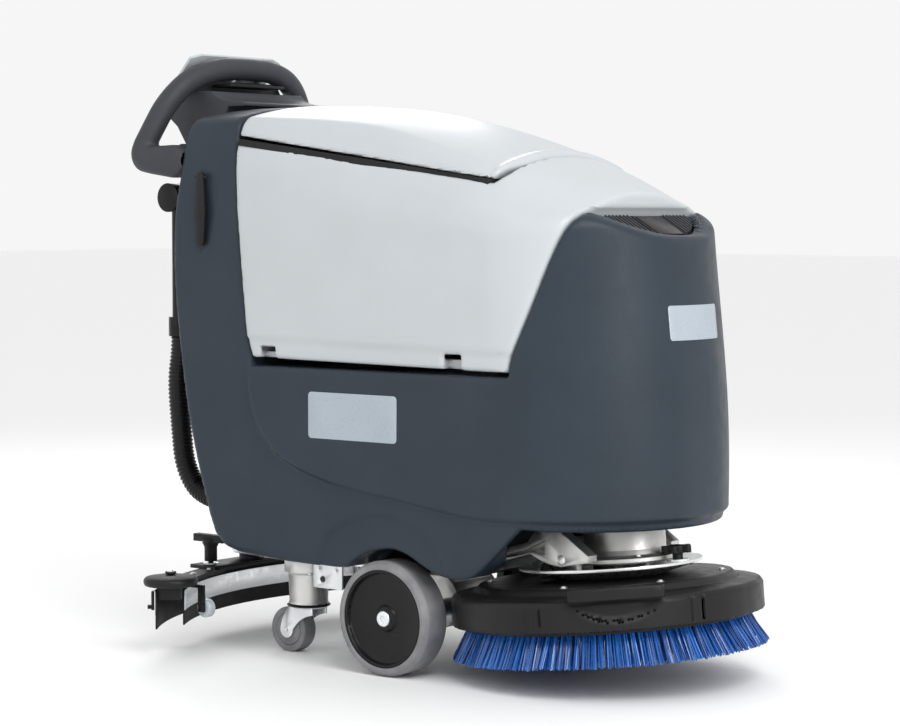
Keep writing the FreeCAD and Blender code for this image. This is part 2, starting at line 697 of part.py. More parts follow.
plate_disc = turned("DeckPlateDisc", ((34, high + 18.2), (96, high + 18.2), (158, high + 36),
                                      (158, high + 41),
                                      (94, high + 24), (34, high + 24)),
                    deck_place.multiply(Placement(Vector(13, 0, 0), Rotation())))
lugs = []
for side, hand in SIDES:
    lugs.append(block(f"DeckLug{side}", (284, 308), (f"{hand} * 100 - 6", f"{hand} * 100 + 6"), (186, 226)))
    lugs.append(rod(f"DeckPin{side}", "y",
                    ("{deck_pivot_ahead}", f"{hand} * 113 - 23", "{deck_pivot_height}"), 8, 46))
node("deck_plate", fused("DeckPlate", plate_disc, *lugs))
motor_shift = size("motor_ahead") - size("brush_centre")
motor_place = deck_place.multiply(Placement(Vector(motor_shift, 0, 0), Rotation()))
motor = size("motor_radius")
node("brush_motor", turned("BrushMotor", ((0, high + 41.5), (motor + 12, high + 41.5),
                                          (motor + 12, high + 48),
                                          (motor, high + 50), (motor, high + 120), (motor - 8, high + 130),
                                          (0, high + 130)), motor_place))
bar = pressed("DeckBar", "XY_Plane", ((deck - 5, -80), (deck + 5, -78), (deck + 10, -60), (deck + 10, 60),
                                      (deck + 5, 78),
                                      (deck - 5, 80)), 20,
              deck_place.multiply(Placement(Vector(0, 0, high + 0.4), Rotation(Vector(0, 0, 1), -51.5))))
node("deck_handle", bar)
knob_place = deck_place.multiply(Placement(Vector(152, 0, high + 41.2), Rotation()))
knob_core = turned("StarKnobCore", ((0, 0), (9, 0), (9, 12), (16, 14), (16, 26), (0, 28)), knob_place)
points = doc.addObject("PartDesign::Body", "StarKnobPoints")
point_sketch = sketch_in(points, "StarPointOutline", "XY_Plane",
                         ((6, -7), (22, -6), ("arc", (27, 0), (22, 6)), (6, 7)))
point_pad = points.newObject("PartDesign::Pad", "StarPointPad")
point_pad.Profile = point_sketch
bind(point_pad, Length=12)
doc.recompute()
star = points.newObject("PartDesign::PolarPattern", "StarPoints")
star.Originals = [point_pad]
star.Axis = (point_sketch, ["N_Axis"])
star.Angle = 360
star.Occurrences = 5
points.Tip = star
points.Placement = knob_place.multiply(Placement(Vector(0, 0, 14), Rotation()))
node("star_knob", fused("StarKnob", knob_core, points))

arm_side = (
    (96, 190), ("arc", (95, 204), (108, 208)), (226, 240), ("arc", (262, 266), (296, 262)), (352,
            226), (352, 214),
    (296, 203), ("curve", (262, 208), (232, 220)), (112, 186),
)
arms = []
for side, hand in SIDES:
    arm = slab(f"LiftArm{side}", arm_side, 26, hand * size("arm_offset"))
    hole = rod(f"LiftArmHole{side}", "y", ("{deck_pivot_ahead}", f"{hand} * {{arm_offset}} - 20",
                                           "{deck_pivot_height}"),
               8.05, 40)
    pocket = slab(f"LiftArmPocket{side}", ((130, 199), (226, 228), (262, 246), (262, 222), (238, 226)), 18,
                  hand * (size("arm_offset") + 8))
    arms.append(cut(f"LiftArmCut{side}", arm, hole, pocket))
cross_bar = rod("LiftCrossBar", "y", ("{lift_pivot_ahead}", -138, "{lift_pivot_height}"), 8, 276)
node("lift_yoke", fused("LiftYoke", *arms, cross_bar))

# ---------------------------------------------------------------- squeegee

ARC_CENTRE = size("squeegee_arc_centre")


def on_arc(arc_radius, angle):
    """A point (ahead of the axle, across) on a circle about the squeegee's arc centre."""
    turn = math.radians(angle)
    return ARC_CENTRE - arc_radius * math.cos(turn), arc_radius * math.sin(turn)


def sector(name, inner, outer, low, high, half_angle):
    """A curved bar: part of a ring behind the arc centre."""
    a = math.radians(half_angle)
    cos_a, sin_a = math.cos(a), math.sin(a)
    outline = ((-inner * cos_a, -inner * sin_a), ("arc", (-inner, 0), (-inner * cos_a, inner * sin_a)),
               (-outer * cos_a, outer * sin_a), ("arc", (-outer, 0), (-outer * cos_a, -outer * sin_a)))
    return pressed(name, "XY_Plane", outline, high - low, spot(ARC_CENTRE, 0, low))


arc = size("squeegee_radius")
half_angle = size("squeegee_half_angle")
bar_low, bar_high = size("squeegee_low"), size("squeegee_high")
end_x, end_y = on_arc(arc, half_angle)
wheel_x, wheel_y = on_arc(arc - 62, 33.5)

bar = sector("SqueegeeBar", arc - 20, arc + 22, bar_low, bar_high, half_angle + 1.8)
hanger = block("Hanger", (-572, -508), (-136, 136), (bar_high - 1, bar_high + 6))
inlet = rod("Inlet", "z", (-540, 0, bar_high - 1), 24, 62)
inlet_bore = rod("InletBore", "z", (-540, 0, bar_low - 1), 19, 90)
bar_extras = []
for side, hand in SIDES:
    bar_extras.append(rod(f"BumperPost{side}", "z", (end_x, hand * end_y, bar_high - 1), 6, 26))
    bar_extras.append(rod(f"BumperCap{side}", "z", (end_x, hand * end_y, bar_high + 21.5), 10, 4))
    bar_extras.append(rod(f"KnobStud{side}", "z", (-543, hand * 110, bar_high + 5), 5, 44))
    bar_extras.append(block(f"WheelHanger{side}", (wheel_x - 66, wheel_x + 3),
                            (hand * wheel_y - 18, hand * wheel_y - 13),
                            (bar_high - 7, bar_high - 1)))
    bar_extras.append(block(f"WheelEar{side}", (wheel_x - 7, wheel_x + 7),
                            (hand * wheel_y - 18, hand * wheel_y - 13),
                            (bar_low - 26, bar_high - 1)))
    bar_extras.append(rod(f"WheelPin{side}", "y", (wheel_x, hand * wheel_y - 14, bar_low - 20), 3, 30))
node("squeegee_bar", cut("SqueegeeBarCut", fused("SqueegeeBarWhole", bar, hanger, inlet, *bar_extras),
                         inlet_bore))
tip = size("blade_tip")
node("squeegee_blades", group("SqueegeeBlades",
                              sector("RearBlade", arc + 22.1, arc + 25, tip, bar_high - 8,
                                     half_angle + 2.4),
                              sector("FrontBlade", arc - 23, arc - 20.1, tip + 3, bar_high - 8,
                                     half_angle - 1)))
node("blade_straps", group("BladeStraps",
                           sector("RearStrap", arc + 25.1, arc + 26.6, tip + 26, bar_high - 6,
                                  half_angle + 2.4),
                           sector("FrontStrap", arc - 24.6, arc - 23.1, tip + 30, bar_high - 10,
                                  half_angle - 1)))
for side, hand in SIDES:
    node(f"squeegee_bumper_{side}", turned(
        f"SqueegeeBumper{side}", ((6.05, 0.4), (size("bumper_radius") - 4, 0.4),
                                  ("arc", (size("bumper_radius"), 8),
                                  (size("bumper_radius") - 5, 16)), (20, 20), (6.05, 20)),
        spot(end_x, hand * end_y, bar_high)))
    node(f"support_wheel_{side}", turned(
        f"SupportWheel{side}", ((3.05, 0), (14, 0), (17, 3), (17, 15), (14, 18), (3.05, 18)),
        spot(wheel_x, hand * wheel_y - 12, bar_low - 20, Rotation(Vector(1, 0, 0), -90))))
    grip = turned(f"KnobHub{side}", ((5.05, 0), (12, 0), (12, 26), (16, 34), (16, 42), (0, 42), (0, 40),
                                     (5.05, 40)),
                  spot(-543, hand * 110, bar_high + 12))
    wings = block(f"KnobWings{side}", (-581, -505), (hand * 110 - 8, hand * 110 + 8),
                  (bar_high + 48, bar_high + 62))
    node(f"squeegee_knob_{side}", cut(f"SqueegeeKnob{side}", fused(f"KnobWhole{side}", grip, wings),
                                      rod(f"KnobBore{side}", "z", (-543, hand * 110, bar_high), 5.05, 50)))

lift_side = ((-236, 139), ("arc", (-228, 150), (-236, 161)), (-535, 172), ("arc", (-551, 161), (-541, 149)))
plates = []
for side, hand in SIDES:
    plate_blank = slab(f"SqueegeePlate{side}", lift_side, 5, hand * 44)
    plates.append(cut(f"SqueegeePlateCut{side}", plate_blank,
                      rod(f"SqueegeePlateHole{side}", "y", (-540, hand * 44 - 10, 160.5), 5.05, 20)))
squeegee_pin = rod("SqueegeePin", "y", ("-{squeegee_pivot_back}", -56, "{squeegee_pivot_height}"), 6, 112)
node("squeegee_arms", fused("SqueegeeArms", *plates, squeegee_pin))
collar = cut("CollarRing", rod("CollarOuter", "z", (-540, 0, 151), 34, 19),
             rod("CollarInner", "z", (-540, 0, 150), 24.05, 21))
collar_pins = [rod(f"CollarPin{side}", "y", (-540, "-48" if hand < 0 else 30, 160.5), 5, 18) for side,
               hand in SIDES]
node("squeegee_collar", fused("SqueegeeCollar", collar, *collar_pins))

# ---------------------------------------------------------------- hoses

VACUUM_ROUTE = (
    (-560, 14, 599.6), (-561, 13, 540), (-580, 12, 466), (-586, 8, 388), (-571, 4, 312), (-541, 0, 248),
    (-540, 0, 190.4),
)
DRAIN_ROUTE = (
    (-436, -150, 262), (-517, -150, 262), (-570, -150, 314), (-580, -150, 400), (-588, -150, 482), (-577,
            -150, 540),
    (-577.2, -150, 566),
)
for label, route, bar_radius in (("vacuum_hose", VACUUM_ROUTE, 19.0),
                                 ("drain_hose", DRAIN_ROUTE, size("hose_radius"))):
    hose, length, radii = swept(route, bar_radius)
    expected = math.pi * bar_radius ** 2 * length
    print(label, "length", round(length), "radii", radii, "volume ratio", round(hose.Volume / expected, 4))
    node(label, moulded(label.title().replace("_", ""), hose))

pipe = rod("DrainPipe", "z", (-577, -150, 566.4), "{pipe_radius}", 250)
pipe_cuff = rod("DrainCuff", "z", (-577, -150, 566.4), 24, 36)
cap = rod("DrainCap", "y", (-590, -172, 826), 27, 40)
node("drain_pipe", fused("DrainPipeWhole", pipe, pipe_cuff, cap))
gland = rod("DrainGland", "x", (-435.8, -150, 262), 27, 30)
gland_trim = cut("DrainGlandTrim", gland, doc.getObject("BodyShell"))
clip = cut("HoseClip", block("ClipBar", (-562, -500), (-160, -140), (740, 760)),
           rod("ClipRoom", "z", (-577, -150, 700), "{pipe_radius} + 0.2", 100), doc.getObject("BodyShell"))
elbow = fused("Elbow", rod("ElbowTube", "x", (-562, 14, 640), 26, 72),
              rod("ElbowDrop", "z", (-560, 14, 600.5), 24, 40),
              moulded("ElbowKnuckle", Part.makeSphere(26, Vector(AXLE - 560, 14, 640))))
elbow_trim = cut("ElbowTrim", elbow, doc.getObject("BodyShell"))
node("hose_fittings", group("HoseFittings", gland_trim, clip, elbow_trim))

# ---------------------------------------------------------------- check and write

doc.recompute()
failed = [obj.Name for obj in doc.Objects if "Invalid" in obj.State or "Error" in obj.State]
if failed:
    raise RuntimeError("objects that did not build: " + ", ".join(failed))
for obj in NODES:
    shape = obj.Shape
    if shape.isNull() or not shape.isValid() or not shape.Solids:
        raise RuntimeError("bad shape: " + obj.Label)
    shape.exportStep("parts/" + obj.Label + ".step")
print(len(NODES), "nodes written")
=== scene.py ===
"""Visible surfaces of a walk-behind floor scrubber-dryer, built around its packed design."""

import json
import math

import bmesh
import bpy
import numpy as np
from mathutils import Matrix, Vector


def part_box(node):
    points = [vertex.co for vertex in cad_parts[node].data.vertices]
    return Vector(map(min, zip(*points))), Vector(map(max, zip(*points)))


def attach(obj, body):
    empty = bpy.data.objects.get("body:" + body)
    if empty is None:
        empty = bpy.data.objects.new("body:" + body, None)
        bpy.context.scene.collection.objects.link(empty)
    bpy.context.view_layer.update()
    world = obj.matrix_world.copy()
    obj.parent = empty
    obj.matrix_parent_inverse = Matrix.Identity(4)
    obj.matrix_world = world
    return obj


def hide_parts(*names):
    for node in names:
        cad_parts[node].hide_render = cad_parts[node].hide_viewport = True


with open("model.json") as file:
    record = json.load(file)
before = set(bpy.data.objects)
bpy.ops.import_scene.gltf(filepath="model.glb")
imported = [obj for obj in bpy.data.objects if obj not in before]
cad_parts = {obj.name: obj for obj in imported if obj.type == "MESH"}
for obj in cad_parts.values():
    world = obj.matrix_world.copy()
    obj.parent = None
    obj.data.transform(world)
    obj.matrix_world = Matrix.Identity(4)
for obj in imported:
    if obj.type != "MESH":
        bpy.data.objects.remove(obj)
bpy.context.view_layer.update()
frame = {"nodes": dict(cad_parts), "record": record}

bl_info = {
    "name": "Floor scrubber",
    "version": (1, 0, 0),
    "blender": (4, 5, 0),
    "location": "3D View > Sidebar > Scrubber",
    "description": "Builds the visible surfaces of a walk-behind floor scrubber-dryer",
    "category": "Object",
}

# Shapes are written in millimetres, with x measured ahead of the drive axle, and become metres
# in the frame's own axes when their mesh is made.
MM = 0.001
WHEEL_LOW, WHEEL_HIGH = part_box("drive_tyre_right")
AXLE = (WHEEL_LOW.x + WHEEL_HIGH.x) / 2 / MM
SIDES = (("right", -1), ("left", 1))
DECK_PITCH = math.radians(5.06)
DECK_PLACE = Matrix.Translation((302, 0, 46)) @ Matrix.Rotation(-DECK_PITCH, 4, "Y")


def spot(x, y, z):
    """A point in the frame, in metres, from millimetres ahead of the axle."""
    return Vector(((AXLE + x) * MM, y * MM, z * MM))


# ---------------------------------------------------------------- sizes and colours to change

class BodyworkSettings(bpy.types.PropertyGroup):
    """Fineness, relief and colours of the big mouldings."""
    cell: bpy.props.FloatProperty(
        name="Mesh cell", description="Edge length of the moulded shells' mesh",
        default=0.006, min=0.003, unit="LENGTH")
    relief: bpy.props.FloatProperty(
        name="Side relief", description="How far the upper side stands proud of the lower side",
        default=0.009, unit="LENGTH")
    slate: bpy.props.FloatVectorProperty(
        name="Slate", description="Colour of the moulded body", subtype="COLOR", size=3,
        default=(0.023, 0.033, 0.045))
    tank: bpy.props.FloatVectorProperty(
        name="Tank", description="Colour of the tank and its lid", subtype="COLOR", size=3,
        default=(0.47, 0.5, 0.52))
    badge: bpy.props.FloatVectorProperty(
        name="Badge", description="Colour of the blank badges", subtype="COLOR", size=3,
        default=(0.36, 0.41, 0.46))


class BrushSettings(bpy.types.PropertyGroup):
    """How many bristles the brush has, and their colour."""
    tufts: bpy.props.IntProperty(
        name="Tufts in the outer row", description="Number of bristle tufts round the outer row",
        default=118, min=20)
    rows: bpy.props.IntProperty(name="Rows", description="Number of rows of tufts", default=6, min=1)
    bristles: bpy.props.IntProperty(
        name="Bristles in a tuft", description="Number of bristles in one tuft", default=9, min=1)
    blue: bpy.props.FloatVectorProperty(
        name="Bristle colour", description="Colour of the nylon bristles", subtype="COLOR", size=3,
        default=(0.004, 0.072, 0.36))


class HoseSettings(bpy.types.PropertyGroup):
    """The ribs of the hoses."""
    pitch: bpy.props.FloatProperty(
        name="Rib pitch", description="Distance from one rib of the hose to the next",
        default=0.0075, unit="LENGTH")
    depth: bpy.props.FloatProperty(
        name="Rib depth", description="Depth of the grooves between the ribs",
        default=0.0022, unit="LENGTH")


class StageSettings(bpy.types.PropertyGroup):
    """Where the camera stands and how strong the main light is."""
    azimuth: bpy.props.FloatProperty(
        name="Azimuth", description="Where the camera stands, round from the right-hand side",
        default=math.radians(38.52), subtype="ANGLE")
    key: bpy.props.FloatProperty(name="Key light", description="Power of the main soft light", default=62.0)


# ---------------------------------------------------------------- finishes

def blank_material(name):
    material = bpy.data.materials.new(name)
    material.use_nodes = True
    shader = material.node_tree.nodes["Principled BSDF"]
    return material, material.node_tree, shader


def noise(tree, scale, detail=2.0, roughness=0.5):
    """Noise on the object's own coordinates, so that it stays put on the piece."""
    place = tree.nodes.new("ShaderNodeTexCoord")
    texture = tree.nodes.new("ShaderNodeTexNoise")
    texture.inputs["Scale"].default_value = scale
    texture.inputs["Detail"].default_value = detail
    texture.inputs["Roughness"].default_value = roughness
    tree.links.new(place.outputs["Object"], texture.inputs["Vector"])
    return texture.outputs["Fac"]


def ramp(tree, factor, low, high, start=0.3, end=0.7):
    """A value or colour that runs from low to high as factor runs from start to end."""
    mapped = tree.nodes.new("ShaderNodeMapRange")
    mapped.clamp = True
    mapped.inputs["From Min"].default_value = start
    mapped.inputs["From Max"].default_value = end
    tree.links.new(factor, mapped.inputs["Value"])
    if isinstance(low, (int, float)):
        mapped.inputs["To Min"].default_value = low
        mapped.inputs["To Max"].default_value = high
        return mapped.outputs["Result"]
    mix = tree.nodes.new("ShaderNodeMix")
    mix.data_type = "RGBA"
    mix.inputs["A"].default_value = (*low, 1.0)
    mix.inputs["B"].default_value = (*high, 1.0)
    tree.links.new(mapped.outputs["Result"], mix.inputs["Factor"])
    return mix.outputs["Result"]


def add_bump(tree, shader, height, strength, distance):
    bump = tree.nodes.new("ShaderNodeBump")
    bump.inputs["Strength"].default_value = strength
    bump.inputs["Distance"].default_value = distance
    tree.links.new(height, bump.inputs["Height"])
    previous = shader.inputs["Normal"]
    if previous.is_linked:
        tree.links.new(previous.links[0].from_socket, bump.inputs["Normal"])
    tree.links.new(bump.outputs["Normal"], previous)


def shaded(colour, factor):
    return tuple(channel * factor for channel in colour)


def moulding(name, colour, roughness, grain, grain_depth, mottling=0.08, coat=0.0, spread=0.06, shine=0.24):
    """Moulded plastic or rubber: faint mottling, uneven sheen and a fine surface grain."""
    material, tree, shader = blank_material(name)
    broad = noise(tree, 9.0, 3.0)
    colour_out = ramp(tree, broad, shaded(colour, 1 - mottling), shaded(colour, 1 + mottling))
    tree.links.new(colour_out, shader.inputs["Base Color"])
    sheen = noise(tree, 38.0, 3.0)
    tree.links.new(ramp(tree, sheen, roughness - spread, roughness + spread), shader.inputs["Roughness"])
    add_bump(tree, shader, noise(tree, grain, 2.0, 0.55), 1.0, grain_depth)
    shader.inputs["Specular IOR Level"].default_value = shine
    shader.inputs["Coat Weight"].default_value = coat
    shader.inputs["Coat Roughness"].default_value = 0.25
    return material


def slate_plastic(colour):
    """Rotationally moulded polyethylene with a fine orange-peel skin."""
    return moulding("slate_plastic", colour, 0.41, 620.0, 0.00028, mottling=0.07, spread=0.05)


def tank_plastic(colour):
    """Smooth pale moulding with a satin gloss."""
    return moulding("tank_plastic", colour, 0.34, 900.0, 0.00003, mottling=0.02, spread=0.04, shine=0.4)


def black_plastic():
    return moulding("black_plastic", (0.01, 0.01, 0.0105), 0.42, 1500.0, 0.00006, mottling=0.2)


def charcoal_plastic():
    return moulding("charcoal_plastic", (0.045, 0.046, 0.053), 0.5, 1700.0, 0.00006, mottling=0.06)


def gloss_black():
    return moulding("gloss_black", (0.006, 0.006, 0.0065), 0.3, 400.0, 0.00002, mottling=0.2)


def black_rubber():
    return moulding("black_rubber", (0.012, 0.012, 0.012), 0.62, 1300.0, 0.00012, mottling=0.25)


def grey_rubber():
    """Non-marking tread rubber, a little scuffed and dusty."""
    material, tree, shader = blank_material("grey_rubber")
    broad = noise(tree, 26.0, 4.0, 0.6)
    tree.links.new(ramp(tree, broad, (0.15, 0.15, 0.158), (0.235, 0.235, 0.243)), shader.inputs["Base Color"])
    tree.links.new(ramp(tree, noise(tree, 70.0, 3.0), 0.45, 0.7), shader.inputs["Roughness"])
    add_bump(tree, shader, noise(tree, 1100.0, 2.0), 1.0, 0.00012)
    add_bump(tree, shader, noise(tree, 60.0, 2.0), 1.0, 0.0002)
    return material


def smooth_metal(name, colour, roughness, grain, depth, spread=0.08, mottling=0.12):
    material, tree, shader = blank_material(name)
    shader.inputs["Metallic"].default_value = 1.0
    broad = noise(tree, 45.0, 4.0, 0.6)
    tree.links.new(ramp(tree, broad, shaded(colour, 1 - mottling), colour), shader.inputs["Base Color"])
    tree.links.new(ramp(tree, noise(tree, 90.0, 4.0), roughness - spread, roughness + spread),
                   shader.inputs["Roughness"])
    add_bump(tree, shader, noise(tree, grain, 3.0, 0.6), 1.0, depth)
    return material


def zinc_steel():
    """Bright zinc plate over rolled steel."""
    return smooth_metal("zinc_steel", (0.86, 0.875, 0.89), 0.34, 900.0, 0.000005, mottling=0.02)


def cast_aluminium():
    """Sand-cast aluminium, grainy and slightly dull."""
    return smooth_metal("cast_aluminium", (0.72, 0.715, 0.7), 0.44, 520.0, 0.00005, mottling=0.06)


def machined_aluminium():
    return smooth_metal("machined_aluminium", (0.86, 0.865, 0.87), 0.32, 900.0, 0.000005, mottling=0.02)


def dark_steel():
    return smooth_metal("dark_steel", (0.06, 0.06, 0.062), 0.4, 500.0, 0.0001)


def clear_plastic():
    """Milky translucent plastic of the squeegee's support wheels."""
    material, tree, shader = blank_material("clear_plastic")
    tree.links.new(ramp(tree, noise(tree, 80.0, 2.0), (0.5, 0.56, 0.6), (0.66, 0.72, 0.76)),
                   shader.inputs["Base Color"])
    shader.inputs["Roughness"].default_value = 0.24
    shader.inputs["Transmission Weight"].default_value = 0.35
    shader.inputs["Coat Weight"].default_value = 0.4
    add_bump(tree, shader, noise(tree, 500.0), 1.0, 0.00005)
    return material


def display_glass():
    material, tree, shader = blank_material("display_glass")
    tree.links.new(ramp(tree, noise(tree, 60.0, 2.0), (0.012, 0.02, 0.022), (0.02, 0.032, 0.034)),
                   shader.inputs["Base Color"])
    shader.inputs["Roughness"].default_value = 0.08
    shader.inputs["Coat Weight"].default_value = 0.6
    return material


def badge_film(colour):
    """Satin printed film with a faint brushed look and no marks."""
    material, tree, shader = blank_material("badge_film")
    tree.links.new(ramp(tree, noise(tree, 14.0, 2.0), shaded(colour, 0.97), shaded(colour, 1.04)),
                   shader.inputs["Base Color"])
    tree.links.new(ramp(tree, noise(tree, 120.0, 2.0), 0.26, 0.34), shader.inputs["Roughness"])
    shader.inputs["Metallic"].default_value = 0.15
    add_bump(tree, shader, noise(tree, 1400.0), 1.0, 0.00002)
    return material


def bristle_nylon(colour):
    """Extruded nylon: each bristle has its own tone of blue."""
    material, tree, shader = blank_material("bristle_nylon")
    shade = tree.nodes.new("ShaderNodeAttribute")
    shade.attribute_name = "bristle_shade"
    tree.links.new(ramp(tree, shade.outputs["Fac"], shaded(colour, 0.55), (0.02, 0.16, 0.56), 0.0, 1.0),
                   shader.inputs["Base Color"])
    tree.links.new(ramp(tree, noise(tree, 300.0, 2.0), 0.22, 0.4), shader.inputs["Roughness"])
    shader.inputs["Specular IOR Level"].default_value = 0.7
    return material


FINISHES = {}


def finish(name):
    """The finished material of that name, made once."""
    if not FINISHES:
        body = bpy.context.scene.scrubber_body
        brush = bpy.context.scene.scrubber_brush
        FINISHES.update(
            slate_plastic=slate_plastic(body.slate), tank_plastic=tank_plastic(body.tank),
            black_plastic=black_plastic(), charcoal_plastic=charcoal_plastic(), gloss_black=gloss_black(),
            black_rubber=black_rubber(), grey_rubber=grey_rubber(), zinc_steel=zinc_steel(),
            cast_aluminium=cast_aluminium(), machined_aluminium=machined_aluminium(), dark_steel=dark_steel(),
            clear_plastic=clear_plastic(), display_glass=display_glass(), badge_film=badge_film(body.badge),
            bristle_nylon=bristle_nylon(brush.blue))
    return FINISHES[name]


# ---------------------------------------------------------------- meshes and pieces

def smooth_by_angle(mesh, degrees=38.0):
    mesh.shade_smooth()
    mesh.set_sharp_from_angle(angle=math.radians(degrees))


def mesh_object(name, points, faces, sharp=38.0):
    mesh = bpy.data.meshes.new(name)
    mesh.from_pydata([tuple(point) for point in points], [], [tuple(int(i) for i in face) for face in faces])
    mesh.update()
    smooth_by_angle(mesh, sharp)
    piece = bpy.data.objects.new(name, mesh)
    bpy.context.collection.objects.link(piece)
    return piece


def applied(piece, sharp=None):
    """Turn a piece's modifiers into plain mesh."""
    shown = piece.evaluated_get(bpy.context.evaluated_depsgraph_get())
    mesh = bpy.data.meshes.new_from_object(shown)
    mesh.name = piece.name
    old = piece.data
    if isinstance(old, bpy.types.Mesh):
        piece.modifiers.clear()
        piece.data = mesh
    else:
        name = piece.name
        bpy.data.objects.remove(piece)
        piece = bpy.data.objects.new(name, mesh)
        bpy.context.collection.objects.link(piece)
    if sharp:
        smooth_by_angle(mesh, sharp)
    return piece


def place_piece(piece, body, material, replaces=()):
    """Dress a finished piece and hang it on its body."""
    if not piece.data.materials:
        piece.data.materials.append(finish(material))
    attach(piece, body)
    if replaces:
        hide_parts(*replaces)
    return piece


def refined(node, width=0.8, segments=2, angle=28.0):
    """A copy of a CAD node with its flat faces merged and its edges softly rounded."""
    source = frame["nodes"][node]
    shape = bmesh.new()
    shape.from_mesh(source.data)
    bmesh.ops.remove_doubles(shape, verts=shape.verts, dist=0.00002)
    bmesh.ops.dissolve_limit(shape, angle_limit=math.radians(0.6), verts=shape.verts, edges=shape.edges)
    mesh = bpy.data.meshes.new(node + "_soft")
    shape.to_mesh(mesh)
    shape.free()
    mesh.materials.clear()
    piece = bpy.data.objects.new(node + "_soft", mesh)
    bpy.context.collection.objects.link(piece)
    if not width:
        smooth_by_angle(mesh, 40.0)
        return piece
    bevel = piece.modifiers.new("Edges", "BEVEL")
    bevel.width = width * MM
    bevel.segments = segments
    bevel.limit_method = "ANGLE"
    bevel.angle_limit = math.radians(angle)
    bevel.harden_normals = False
    return applied(piece, sharp=50.0)


# ---------------------------------------------------------------- moulded shapes as fields
# A field is a function of x, y and z that is negative inside the plastic and grows by about one
# for each millimetre outwards.  Its zero is the surface.

def smax(a, b, blend):
    """The larger of two fields, with the edge between them rounded."""
    near = np.maximum(blend - np.abs(a - b), 0.0) / blend
    return np.maximum(a, b) + near * near * blend / 4


def smin(a, b, blend):
    """The smaller of two fields, with a fillet between them."""
    return -smax(-a, -b, blend)


def smooth_table(stations, values):
    """A smooth curve through a few stations."""
    xs = np.array(stations, float)
    ys = np.array(values, float)
    slopes = np.gradient(ys, xs)

    def at(x):
        x = np.clip(x, xs[0], xs[-1])
        i = np.clip(np.searchsorted(xs, x) - 1, 0, len(xs) - 2)
        span = xs[i + 1] - xs[i]
        t = (x - xs[i]) / span
        rise = ys[i + 1] - ys[i]
        return (ys[i] + span * slopes[i] * t + (3 * rise - span * (2 * slopes[i] + slopes[i + 1])) * t ** 2
                + (span * (slopes[i] + slopes[i + 1]) - 2 * rise) * t ** 3)
    return at


def through(points, steps=7):
    """Points along a smooth curve through the given ones."""
    corners = np.array(points, float)
    ends = np.vstack([2 * corners[0] - corners[1], corners, 2 * corners[-1] - corners[-2]])
    made = []
    for a, b, c, d in zip(ends, ends[1:], ends[2:], ends[3:]):
        for t in np.arange(steps) / steps:
            made.append(0.5 * (2 * b + (c - a) * t + (2 * a - 5 * b + 4 * c - d) * t ** 2
                               + (3 * b - a - 3 * c + d) * t ** 3))
    made.append(corners[-1])
    return [tuple(point) for point in made]


def outline_distance(points):
    """Signed distance to a closed outline, negative inside."""
    def distance(u, v):
        nearest = np.full(np.broadcast(u, v).shape, 1e12)
        inside = np.zeros(nearest.shape, bool)
        for (au, av), (bu, bv) in zip(points, points[1:] + points[:1]):
            eu, ev = bu - au, bv - av
            length = eu * eu + ev * ev
            if length < 1e-9:
                continue
            along = np.clip(((u - au) * eu + (v - av) * ev) / length, 0, 1)
            nearest = np.minimum(nearest, (u - au - eu * along) ** 2 + (v - av - ev * along) ** 2)
            if abs(ev) > 1e-9:
                inside ^= ((av > v) != (bv > v)) & (u < au + eu * (v - av) / ev)
        return np.where(inside, -1.0, 1.0) * np.sqrt(nearest)
    return distance


def box_field(low, high):
    """A plain box."""
    middle = [(a + b) / 2 for a, b in zip(low, high)]
    half = [(b - a) / 2 for a, b in zip(low, high)]

    def field(x, y, z):
        gaps = [np.abs(value - m) - h for value, m, h in zip((x, y, z), middle, half)]
        return np.maximum(np.maximum(gaps[0], gaps[1]), gaps[2])
    return field


def rod_y(x0, z0, radius, y_low, y_high):
    """A cylinder across the machine."""
    def field(x, y, z):
        round_gap = np.hypot(x - x0, z - z0) - radius
        return np.maximum(round_gap, np.abs(y - (y_low + y_high) / 2) - (y_high - y_low) / 2)
    return field


